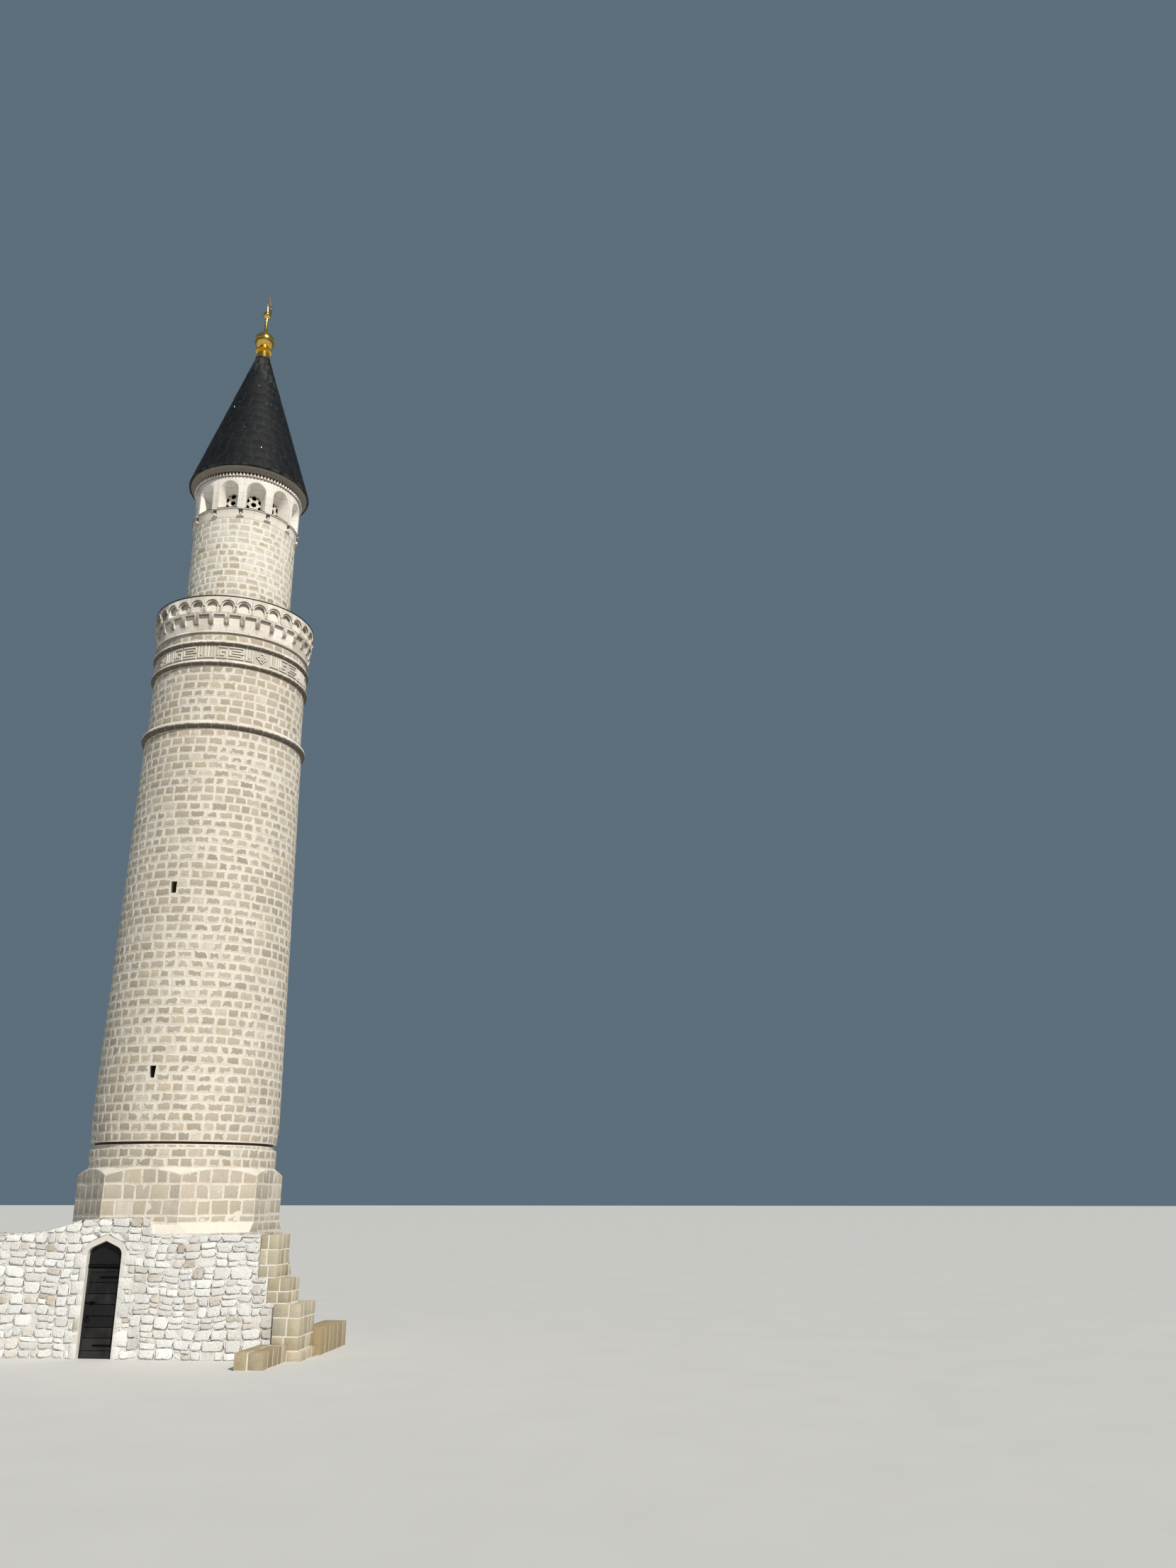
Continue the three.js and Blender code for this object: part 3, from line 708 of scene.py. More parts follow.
@dataclass(frozen=True)
class SheetFinish:
    """Coated or rusting sheet metal.

    Attributes:
        name: The material's name.
        tone: The coat's colour.
        worn_tone: Where the coat is worn or rusted.
        wear: How much of that shows.
        metal: How metallic it is.
        rough: How rough it is.
        gloss: The strength of its reflections.
        seam: A lighter colour in patches along the sheets' edges, or None.
    """

    name: str
    tone: Colour
    worn_tone: Colour
    wear: float
    metal: float
    rough: float
    gloss: float = 0.5
    seam: Colour | None = None

    def material(self) -> bpy.types.Material:
        """Builds the material.

        Returns:
            The material.
        """
        s = Shading(self.name)
        streaks = s.noise(3.0, 6.0, stretch=(1.0, 1.0, 0.3))
        wear = s.mul(s.span(s.fma(s.tints()[0], 0.3, streaks), 0.55, 0.85), self.wear)
        tone = s.mix(wear, self.tone, self.worn_tone)
        spots = s.span(s.noise(40.0), 0.6, 0.75)
        tone = s.mix(s.mul(spots, 0.35 * self.wear), tone, self.worn_tone)
        if self.seam:
            edge_band = s.sub(1.0, s.span(s.nearest_edge(), 0.003, 0.012))
            tone = s.mix(s.mul(edge_band, s.span(s.noise(5.0), 0.35, 0.6)), tone, self.seam)
        return s.done(
            Base_Color=tone,
            Specular_IOR_Level=self.gloss,
            Metallic=self.metal,
            Roughness=s.fma(s.noise(11.0, 4.0), 0.3, self.rough - 0.15),
            Normal=s.bump(s.noise(6.0, 2.0), 0.004, s.bump(s.noise(90.0), 0.0015)),
        )


@dataclass(frozen=True)
class GiltFinish:
    """Bright gilding on sheet.

    Attributes:
        name: The material's name.
        tone: Its colour.
    """

    name: str
    tone: Colour = (0.82, 0.53, 0.11)

    def material(self) -> bpy.types.Material:
        """Builds the material.

        Returns:
            The material.
        """
        s = Shading(self.name)
        clouds = s.noise(5.0, 4.0)
        return s.done(
            Base_Color=s.mix(s.span(clouds, 0.35, 0.75), self.tone, tuple(0.8 * c for c in self.tone)),
            Metallic=1.0,
            Roughness=s.fma(clouds, 0.2, 0.12),
            Normal=s.bump(s.noise(9.0, 2.0), 0.004),
        )


BEIGE = (
    (0.0, (0.42, 0.367, 0.296)), (0.3, (0.45, 0.39, 0.305)), (0.62, (0.475, 0.41, 0.32)),
    (0.88, (0.485, 0.403, 0.292)), (1.0, (0.59, 0.53, 0.44)),
)
EVEN_BEIGE = (
    (0.0, (0.47, 0.415, 0.34)), (0.5, (0.52, 0.455, 0.365)),
    (0.85, (0.54, 0.46, 0.35)), (1.0, (0.62, 0.56, 0.47)),
)
PALE = (
    (0.0, (0.47, 0.36, 0.22)), (0.25, (0.52, 0.44, 0.32)), (0.6, (0.6, 0.53, 0.43)), (1.0, (0.7, 0.66, 0.59)),
)
SMOOTH = ((0.0, (0.64, 0.585, 0.5)), (0.5, (0.72, 0.665, 0.58)), (1.0, (0.77, 0.73, 0.655)))
FAIR = ((0.0, (0.74, 0.69, 0.62)), (0.5, (0.82, 0.775, 0.71)), (1.0, (0.86, 0.825, 0.77)))
OCHRE = (
    (0.0, (0.33, 0.225, 0.11)), (0.35, (0.37, 0.29, 0.17)),
    (0.7, (0.49, 0.43, 0.305)), (1.0, (0.57, 0.515, 0.4)),
)
WASH = (
    (0.0, (0.58, 0.51, 0.42)), (0.07, (0.7, 0.655, 0.59)),
    (0.2, (0.76, 0.745, 0.705)), (1.0, (0.84, 0.83, 0.8)),
)
# Near-black browns for recesses, partly real stain and partly painted shade.
DARK_RECESS_TONES = ((0.0, (0.07, 0.045, 0.03)), (1.0, (0.16, 0.11, 0.075)))
DRESSING = ((0.0, (0.74, 0.7, 0.64)), (1.0, (0.84, 0.82, 0.77)))


class Finish(Enum):
    """Every finish of the tower."""

    SHAFT = StoneFinish("weathered_ashlar", BEIGE, creep=0.03, grime=0.12, relief=0.011)
    OCTAGON = StoneFinish("octagon_ashlar", EVEN_BEIGE, creep=0.018, grime=0.12, shade=0.2, relief=0.01)
    CARVED = StoneFinish("carved_limestone", SMOOTH, grime=0.15, relief=0.004, darkened_below=0.7)
    # The rings' faces that look down are darkened hard: partly a weathered deposit, partly painted shade.
    MOULDINGS = StoneFinish("weathered_mouldings", SMOOTH, grime=0.1, relief=0.006, darkened_below=0.95)
    # Recesses painted near black: painted shadow in the groove's top band and between the cornice teeth,
    # stain and painted shade in the spout throats.
    STAINED = StoneFinish("stained_recess", DARK_RECESS_TONES, grime=0.5)
    WHITE = StoneFinish("smooth_white_stone", SMOOTH, grime=0.1, relief=0.0025, darkened_below=0.4)
    DRUM = StoneFinish("pale_ashlar", PALE, mortar=(0.79, 0.75, 0.66), creep=0.034, grime=0.15, relief=0.01)
    RUBBLE = StoneFinish("limewashed_rubble", WASH, shade=0.22, grime=0.3, relief=0.016)
    TAN = StoneFinish("ochre_ashlar", OCHRE, grime=0.3, veins=0.2)
    FLAGS = StoneFinish("floor_flags", BEIGE, grime=0.4)
    SURROUND = StoneFinish("limewashed_dressing", DRESSING, shade=0.1, grime=0.2, relief=0.005)
    JOINTED = StoneFinish("jointed_white_stone", FAIR, grime=0.1, relief=0.002, courses=(0.42, 0.255))
    MORTAR = MortarFinish("lime_mortar")
    PALE_MORTAR = MortarFinish("pale_mortar", (0.84, 0.8, 0.69), (0.6, 0.54, 0.42), 0.3)
    LIME = MortarFinish("limewash_joints", (0.76, 0.735, 0.68), (0.5, 0.45, 0.37), 0.35)
    BRIGHT = SheetFinish("bright_zinc", (0.6, 0.6, 0.6), (0.4, 0.4, 0.4), 0.3, 0.9, 0.3)
    IRON = SheetFinish("black_iron", (0.014, 0.0135, 0.0145), (0.05, 0.046, 0.042), 0.7, 0.3, 0.55, 0.25)
    FORGED = SheetFinish("forged_iron", (0.0015, 0.0014, 0.0014), (0.006, 0.005, 0.0045), 0.3, 0.0, 0.5, 0.08)
    ROOF = SheetFinish(
        "roof_sheet", (0.0062, 0.0075, 0.009), (0.016, 0.0155, 0.015), 0.4, 0.0, 0.62, 0.17,
        (0.04, 0.043, 0.042),
    )
    GILT = GiltFinish("gilding")

    @cached_property
    def material(self) -> bpy.types.Material:
        """Its material, made once."""
        return self.value.material()


def placed(
    name: str,
    piece: Workpiece,
    finish: Finish,
    body: Body = Body.TOWER,
    stands_for: Sequence[str] = (),
    smooth: float = 32.0,
) -> None:
    """Names and dresses a finished piece, and fastens it to its body.

    Args:
        name: The piece's name.
        piece: The piece.
        finish: Its finish.
        body: The body it rides on.
        stands_for: The CAD nodes that it replaces.
        smooth: Edges flatter than this, in degrees, are shaded smooth.
    """
    piece.choose()
    piece.obj.name = piece.obj.data.name = name
    piece.obj.data.materials.clear()
    piece.obj.data.materials.append(finish.material)
    bpy.ops.object.shade_smooth_by_angle(angle=math.radians(smooth))
    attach(piece.obj, body.value)
    if stands_for:
        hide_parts(*stands_for)
    LOG.info("%s: %d faces", piece.obj.name, len(piece.obj.data.polygons))


def carried_round(points: Array, heading: float) -> Array:
    """Carries points from the door side round the axis to a heading."""
    c, s = math.cos(math.radians(heading)), math.sin(math.radians(heading))
    return points @ np.array([[c, s, 0], [-s, c, 0], [0, 0, 1]])


def round_surface(radius: Line, unit: float) -> Surface:
    """A round wall about the axis.

    Args:
        radius: The wall's radius at each height.
        unit: The radius at which a metre along the wall is a metre.

    Returns:
        The surface.
    """

    def carry(along: Array, up: Array, out: Array) -> Array:
        """Carries points to the wall."""
        turn, reach = along / unit, radius(up) + out
        return np.stack([reach * np.sin(turn), -reach * np.cos(turn), up], axis=1)

    return carry


def flat_surface(reach: float, heading: float, level: float = 0.0, lean: Sequence[float] = (0, 1)) -> Surface:
    """A flat wall.

    Args:
        reach: How far from the axis the wall is, where its own heights start.
        heading: Where the wall faces, in degrees.
        level: The height at which its own heights start.
        lean: How far it goes outwards and up for each metre up its face.

    Returns:
        The surface.
    """
    along_way, level_way = carried_round(np.array([[1, 0, 0], [0, -1, 0]]), heading)
    up_way = lean[0] * level_way + (0, 0, lean[1])
    out_way = lean[1] * level_way - (0, 0, lean[0])

    def carry(along: Array, up: Array, out: Array) -> Array:
        """Carries points to the wall."""
        start = reach * level_way + (0, 0, level)
        return start + np.outer(along, along_way) + np.outer(up, up_way) + np.outer(out, out_way)

    return carry


def even(value: float) -> Line:
    """A line or a radius that is the same at every height."""
    return lambda height: value + 0.0 * np.asarray(height)


def rectangle(left: float, foot: float, right: float, top: float) -> Array:
    """A rectangle's corners, counterclockwise from the lower left."""
    return np.array([[left, foot], [right, foot], [right, top], [left, top]])


def arc(
    centre: tuple[float, float], radius: float, low: float, high: float, steps: int
) -> list[tuple[float, float]]:
    """Draws a part of a circle.

    Args:
        centre: Its centre.
        radius: Its radius.
        low: Where it starts, as an angle in degrees.
        high: Where it ends.
        steps: How many steps it has.

    Returns:
        Its points.
    """
    turns = [math.radians(low + (high - low) * i / steps) for i in range(steps + 1)]
    return [(centre[0] + radius * math.cos(t), centre[1] + radius * math.sin(t)) for t in turns]


def arched(half: float, foot: float, spring: float, steps: int) -> list[tuple[float, float]]:
    """The outline of an opening with a round head, across and up, by its half width, foot and spring."""
    return [(-half, foot), (half, foot), *arc((0, spring), half, 0, 180, steps)]


def hoop(outer: float, inner: float, foot: float, spring: float, steps: int) -> list[tuple[float, float]]:
    """The outline of a round arch's own ring, across and up, by its half widths, foot and spring."""
    over, under = (arc((0, spring), half, 0, 180, steps) for half in (outer, inner))
    return [(outer, foot), *over, (-outer, foot), (-inner, foot), *under[::-1], (inner, foot)]


@dataclass(frozen=True)
class Bed:
    """How stones lie in their wall.

    Attributes:
        length: A stone's usual length.
        height: A rubble stone's usual height.
        joint: The width of the joint round it.
        rim: The width of the worn edge round its face.
        rim_drop: How far that edge falls back.
        proud: How far its face stands before the wall's surface.
        sunk: How far its back lies behind that surface.
        vary: How much lengths differ.
        wander: How far its corners stray.
        rough: How far its face is uneven.
        lap: How far a sheet's foot stands out over the one below it.
        lean: How far a stone's face leans at random, from edge to edge.
        sag: How steeply a rubble stone's face leans out towards its left and its lower edge.
    """

    length: float = 0.335
    height: float = 0.2
    joint: float = 0.03
    rim: float = 0.014
    rim_drop: float = 0.006
    proud: float = 0.006
    sunk: float = 0.05
    vary: float = 0.28
    wander: float = 0.008
    rough: float = 0.0015
    lap: float = 0.0
    lean: float = 0.0015
    sag: tuple[float, float] = (0.0, 0.0)


def clipped(outline: Array, point: Array, outward: Array) -> Array:
    """Cuts a convex outline along a line.

    Args:
        outline: The outline's points.
        point: A point on the line.
        outward: The side that is cut away.

    Returns:
        What is left of the outline.
    """
    if len(outline) < 3:
        return outline
    depth = (outline - point) @ outward
    kept = []
    for i, j in pairwise([*range(len(outline)), 0]):
        if depth[i] <= 0:
            kept.append(outline[i])
        if depth[i] * depth[j] < 0:
            kept.append(outline[i] + (outline[j] - outline[i]) * depth[i] / (depth[i] - depth[j]))
    return np.array(kept).reshape(-1, 2)


def area(outline: Array) -> float:
    """The area inside an outline."""
    after = np.roll(outline, -1, axis=0)
    return float(abs((outline[:, 0] * after[:, 1] - outline[:, 1] * after[:, 0]).sum()) / 2)


def outside(outline: Array, other: Array) -> Array:
    """Cuts a convex outline along the edge of another that leaves most of it.

    Args:
        outline: The outline's points.
        other: The other's points, counterclockwise.

    Returns:
        What stands clear of the other.
    """
    if len(outline) < 3 or (outline.max(axis=0) < other.min(axis=0)).any():
        return outline
    if (outline.min(axis=0) > other.max(axis=0)).any():
        return outline
    ways = np.roll(other, -1, axis=0) - other
    inward = np.stack([-ways[:, 1], ways[:, 0]], axis=1)
    return max((clipped(outline, point, way) for point, way in zip(other, inward, strict=True)), key=area)


class Mason:
    """Lays stones over any surface, and gathers what is laid."""

    def __init__(self, seed: int) -> None:
        """Cuts the stones that are copied.

        Args:
            seed: The seed of this mason's own chance.
        """
        self.chance = np.random.default_rng(seed)
        self.hues = (0.0, 1.0)
        self.heap = Gathering()
        self.squared = [self.facing_stone(columns) for columns in (2, 4)]
        self.rough = self.rough_slab()

    def wall(self) -> Workpiece:
        """Hands over what has been laid, and starts afresh."""
        heap, self.heap = self.heap, Gathering()
        return heap.piece()

    def facing_stone(self, columns: int) -> Form:
        """Cuts a slab of unit size whose face is inset behind a worn edge.

        Args:
            columns: Faces across its face.

        Returns:
            The stone, with its length on X, its height on Y and its face towards +Z.
        """
        grid = {"x_subdivisions": columns, "y_subdivisions": 2, "size": 1, "location": (0, 0, 0.9)}
        stone = Workpiece.added(bpy.ops.mesh.primitive_grid_add, **grid)
        with stone.picked(Part.FACES):
            bpy.ops.mesh.inset(thickness=0.1, depth=0.1)
        return stone.backed(lambda place: max(abs(place.x), abs(place.y)) > 0.499, 0.9)

    def rough_slab(self) -> Form:
        """Cuts a round slab of unit size with a domed face, to be drawn out to any outline.

        Returns:
            The slab, with its middle on the origin and its face towards +Z.
        """
        disc = {"vertices": ROUND_STEPS, "radius": 1, "fill_type": "NGON", "location": (0, 0, 0.6)}
        slab = Workpiece.added(bpy.ops.mesh.primitive_circle_add, **disc)
        with slab.picked(Part.FACES):
            for thickness, depth in ((0.05, 0.2), (0.1, 0.17), (0.4, 0.04)):
                bpy.ops.mesh.inset(thickness=thickness, depth=depth)
            bpy.ops.mesh.poke()
        return slab.backed(lambda place: math.hypot(place.x, place.y) > 0.96, 0.6)

    def lay_rough(self, outline: Array, surface: Surface, bed: Bed, cap: Line | None) -> None:
        """Lays one rubble stone.

        Args:
            outline: Its convex outline along and up the wall, counterclockwise.
            surface: The wall's surface.
            bed: How it lies.
            cap: The height that it stops at, by place along the wall, or None.
        """
        middle = outline.mean(axis=0)
        edges = np.roll(outline, -1, axis=0) - outline
        outward = np.stack([edges[:, 1], -edges[:, 0]], axis=1) / np.linalg.norm(edges, axis=1)[:, None]
        joint = bed.joint * self.chance.uniform(0.7, 1.3)
        room = ((outline - middle) * outward).sum(axis=1) - joint / 2
        turns = 2 * np.pi * np.arange(ROUND_STEPS) / ROUND_STEPS
        ways = np.stack([np.cos(turns), np.sin(turns)], axis=1) * (outline.max(axis=0) - outline.min(axis=0))
        ways /= np.linalg.norm(ways, axis=1)[:, None]
        facing = ways @ outward.T
        reach = np.where(facing > 1e-6, room / np.maximum(facing, 1e-6), 9.0).min(axis=1)
        if reach.min() < THINNEST_STONE:
            return
        reach = (4 * reach + np.roll(reach, 1) + np.roll(reach, -1)) / 6
        reach = reach * self.chance.uniform(0.94, 1.04, ROUND_STEPS)
        points = self.rough.points
        share = np.hypot(points[:, 0], points[:, 1])
        turns = np.arctan2(points[:, 1], points[:, 0]) / (2 * np.pi) * ROUND_STEPS
        step = np.round(turns).astype(int) % ROUND_STEPS
        flat = middle + (share * reach[step])[:, None] * ways[step]
        front = points[:, 2] > 0.5
        tilt = self.chance.normal(0, bed.lean, 2)
        out = np.interp(points[:, 2], [0, 0.6, 1.0], [-bed.sunk, bed.proud - bed.rim_drop, bed.proud])
        out += np.where(front, (flat - middle) @ (tilt - bed.sag) + self.chance.normal(0, bed.rough), 0)
        out[front] += self.chance.normal(0, bed.rough / 3, front.sum())
        if cap is not None:
            flat[:, 1] = np.minimum(flat[:, 1], [cap(along) - joint / 3 for along in flat[:, 0]])
        edge = np.repeat(((1 - share) * reach[step])[:, None], 2, axis=1)
        self.heap.add(self.rough, surface(flat[:, 0], flat[:, 1], out), edge, self.tint())

    def rubble(
        self,
        low: Sequence[float],
        high: Sequence[float],
        surface: Surface,
        bed: Bed,
        clear_of: Sequence[Array] = (),
        cap: Line | None = None,
    ) -> None:
        """Lays stones of no regular shape over a wall.

        Args:
            low: The wall's lower left corner, along and up it.
            high: Its upper right corner.
            surface: The wall's surface.
            bed: How stones lie.
            clear_of: Convex outlines, counterclockwise, that the stones stop at.
            cap: The height that stones stop at, by place along the wall, or None.
        """
        for piece in self.broken(low, high, bed):
            outline = rectangle(*piece)
            x, z = outline.T
            sway = [0.018 * np.sin(5.1 * z + 1.9 * x) + 0.012 * np.sin(11.3 * z - 3.1 * x),
                    0.028 * np.sin(2.3 * x + 1.1 * z) + 0.014 * np.sin(6.7 * x - 2.1 * z)]
            outline = outline + np.stack(sway, axis=1) + self.chance.uniform(-bed.wander, bed.wander, (4, 2))
            outline = np.clip(outline, low, high)
            for other in clear_of:
                outline = outside(outline, other)
            if cap is not None and len(outline) > 2:
                along = outline[:, 0].mean()
                slope = (cap(along + 0.05) - cap(along - 0.05)) / 0.1
                outline = clipped(outline, np.array([along, cap(along)]), np.array([-slope, 1.0]))
            if area(outline) > LEAST_SHARE * bed.length * bed.height:
                self.lay_rough(outline, surface, bed, cap)

    def broken(self, low: Sequence[float], high: Sequence[float], bed: Bed) -> list[tuple[float, ...]]:
        """Breaks a stretch of wall at random into pieces the size of stones.

        Args:
            low: Its lower left corner, along and up it.
            high: Its upper right corner.
            bed: How stones lie.

        Returns:
            The left, foot, right and top of each piece.
        """
        rest = []
        for foot, top in pairwise(self.levels(low[1], high[1], 2.6 * bed.height, 0.25)):
            cuts = self.levels(low[0], high[0], 2.2 * bed.length, 0.3)
            rest += [(left, foot, right, top) for left, right in pairwise(cuts)]
        pieces = []
        while rest:
            left, foot, right, top = piece = rest.pop()
            long, tall = (right - left) / bed.length, (top - foot) / bed.height
            share = self.chance.uniform(0.36, 0.64)
            if max(long, tall) < 1 + bed.vary * self.chance.uniform():
                pieces.append(piece)
            elif long > tall:
                cut = left + share * (right - left)
                rest += [(left, foot, cut, top), (cut, foot, right, top)]
            else:
                cut = foot + share * (top - foot)
                rest += [(left, foot, right, cut), (left, cut, right, top)]
        return pieces

    def tint(self) -> tuple[float, float, float]:
        """A stone's hue, value and seed."""
        hue, *rest = self.chance.uniform(0, 1, 3)
        return (self.hues[0] + hue * (self.hues[1] - self.hues[0]), *rest)

    def lay(self, quad: Array, surface: Surface, bed: Bed, cap: Line | None = None) -> None:
        """Lays one stone.

        Args:
            quad: Its corners along and up the wall, from the lower left round to the upper left.
            surface: The wall's surface.
            bed: How it lies.
            cap: The height that it stops at, by place along the wall, or None.
        """
        length = (np.linalg.norm(quad[1] - quad[0]) + np.linalg.norm(quad[2] - quad[3])) / 2
        height = (np.linalg.norm(quad[3] - quad[0]) + np.linalg.norm(quad[2] - quad[1])) / 2
        joint = bed.joint * self.chance.uniform(0.75, 1.35)
        if length < 2.5 * joint or height < 1.8 * joint:
            return
        form = self.squared[0] if length < 1.4 * height and cap is None else self.squared[1]
        x, y, z = form.points.T
        reach = []
        for value, size in ((x, length), (y, height)):
            half = 0.5 - joint / 2 / size
            inner = half - min(bed.rim / size, 0.3)
            reach.append(np.interp(value, UNIT_STEPS, [-half, -inner, inner, half]))
        s, t = reach
        weights = [(0.5 - s) * (0.5 - t), (0.5 + s) * (0.5 - t), (0.5 + s) * (0.5 + t), (0.5 - s) * (0.5 + t)]
        flat = sum(np.outer(weight, corner) for weight, corner in zip(weights, quad, strict=True))
        face, front = z > 0.95, z > 0.5
        tilt = self.chance.normal(0, bed.lean, 2)
        out = np.interp(z, [0, 0.9, 1.0], [-bed.sunk, bed.proud - bed.rim_drop, bed.proud])
        out = out + np.where(front, self.chance.normal(0, bed.rough) + s * tilt[0] + t * tilt[1], 0)
        out[face] += self.chance.normal(0, bed.rough, face.sum())
        out += np.where(front, bed.lap * (0.5 - t), 0)
        if cap is not None:
            flat[:, 1] = np.minimum(flat[:, 1], [cap(along) - joint / 2 for along in flat[:, 0]])
        edge = (0.5 - np.abs(np.stack(reach, axis=1))) * (length, height) - joint / 2
        self.heap.add(form, surface(flat[:, 0], flat[:, 1], out), np.maximum(edge, 0), self.tint())

    def courses(
        self,
        levels: Sequence[float],
        left: Line,
        right: Line,
        surface: Surface,
        bed: Bed,
        cap: Line | None = None,
    ) -> None:
        """Lays a stretch of wall in courses.

        Args:
            levels: The levels of its beds.
            left: Where each course starts, by height.
            right: Where each ends, by height.
            surface: The wall's surface.
            bed: How stones lie.
            cap: The height that stones stop at, by place along the wall, or None.
        """
        for low, high in pairwise(levels):
            spans = [right(z) - left(z) for z in (low, high)]
            if max(spans) < SHORTEST_COURSE:
                continue
            count = max(1, round(sum(spans) / 2 / bed.length))
            cuts = np.concatenate([[0], np.cumsum(self.chance.uniform(1 - bed.vary, 1 + bed.vary, count))])
            start, end = min(left(low), left(high)), max(right(low), right(high))
            cuts = start + cuts / cuts[-1] * (end - start)
            lean = self.chance.uniform(-bed.wander, bed.wander, count + 1)
            lean[[0, -1]] = 0
            foot = np.clip(cuts + lean, left(low), right(low))
            head = np.clip(cuts - lean, left(high), right(high))
            for i in range(count):
                quad = np.array([[foot[i], low], [foot[i + 1], low], [head[i + 1], high], [head[i], high]])
                x, z = quad.T
                wave = np.sin(2.3 * x + 31.0 * z) + 0.7 * np.sin(7.1 * x + 13.0 * z)
                quad[:, 1] += 0.6 * bed.wander * wave
                if cap is None or min(cap(quad[0, 0]), cap(quad[1, 0])) > low + 0.06:
                    self.lay(quad, surface, bed, cap)

    def levels(self, foot: float, top: float, height: float, vary: float = 0.06) -> Array:
        """Shares out a height, or a length, at random.

        Args:
            foot: Where it starts.
            top: Where it ends.
            height: The usual size of a share.
            vary: How much shares differ.

        Returns:
            The ends of the shares, from foot to top.
        """
        count = max(1, round((top - foot) / height))
        steps = np.cumsum(self.chance.uniform(1 - vary, 1 + vary, count))
        return np.concatenate([[foot], foot + steps / steps[-1] * (top - foot)])

    def ring(
        self, levels: Sequence[float], radius: Line, bed: Bed, gaps: Sequence[tuple[float, ...]] = ()
    ) -> None:
        """Lays a round wall.

        Args:
            levels: The levels of its beds.
            radius: Its radius at each height.
            bed: How stones lie.
            gaps: The left, right, foot and top of each window on the door side.
        """
        for low, high in pairwise(levels):
            unit = float(radius((low + high) / 2))
            half, turn = math.pi * unit, self.chance.uniform(0, bed.length)
            ends = [-half - turn]
            for left, right, foot, top in gaps:
                if foot < high - 0.03 and top > low + 0.03:
                    ends += [left, right]
            ends.append(half - turn)
            for start, end in zip(ends[::2], ends[1::2], strict=True):
                self.courses((low, high), even(start), even(end), round_surface(radius, unit), bed)

    def repeat(self, form: Form, count: int, start: float = 0.0, lift: float = 0.0) -> None:
        """Repeats a form round the axis.

        Args:
            form: The form, which stands on the door side.
            count: How many copies there are.
            start: The heading of the first copy, in degrees.
            lift: How far the copies are raised.
        """
        for k in range(count):
            points = carried_round(form.points + (0, 0, lift), start + k * FULL_TURN / count)
            self.heap.add(form, points, tint=tuple(self.chance.uniform(0, 1, 3)))

    def moulded(self, profile: Profile, count: int, start: float) -> None:
        """Lays a ring of equal stones with one moulded face.

        Args:
            profile: The [radius, height] points of a stone's section.
            count: How many stones go round.
            start: The heading of the first stone, in degrees.
        """
        sweep = FULL_TURN / count - math.degrees(MOULDED_JOINT / max(radius for radius, _ in profile))
        stone = Workpiece.turned(profile, MOULDED_STEPS, sweep)
        self.repeat(stone.softened(MOULDED_EDGE).form(), count, start)


@dataclass(frozen=True)
class Levels:
    """The heights at which the tower's stages start, and the radius of its hollow."""

    wall_top: float = 2.67
    drum: float = 4.15
    groove: float = 4.6
    shaft: float = 4.75
    string: float = 15.37
    neck: float = 15.59
    lower_ring: float = 17.22
    frieze: float = 17.37
    upper_ring: float = 17.81
    plain: float = 17.95
    corbel: float = 18.15
    deck: float = 19.25
    sill_band: float = 22.14
    arcade: float = 22.44
    cornice: float = 23.47
    roof: float = 23.79
    finial: float = 28.64
    inner: float = 1.15


LEVELS = Levels()


def quarters(stage: str) -> list[str]:
    """The names of a stage's four quarters."""
    return [f"{stage}_{side}" for side in ("front", "east", "back", "west")]


@dataclass
class Stage:
    """A stage of the tower, and the mason who lays it.

    Attributes:
        seed: The seed of the mason's chance.
    """

    frame: dict
    mason: Mason = field(init=False)
    seed: ClassVar[int] = 0

    def __post_init__(self) -> None:
        """Hires the mason."""
        self.mason = Mason(self.seed)

    def dress(self, finish: Finish, *nodes: str) -> None:
        """Gives CAD nodes that stay in view a finish."""
        for node in nodes:
            self.frame["nodes"][node].material_slots[0].material = finish.material

    def build(self) -> None:
        """Builds the stage."""
        raise NotImplementedError


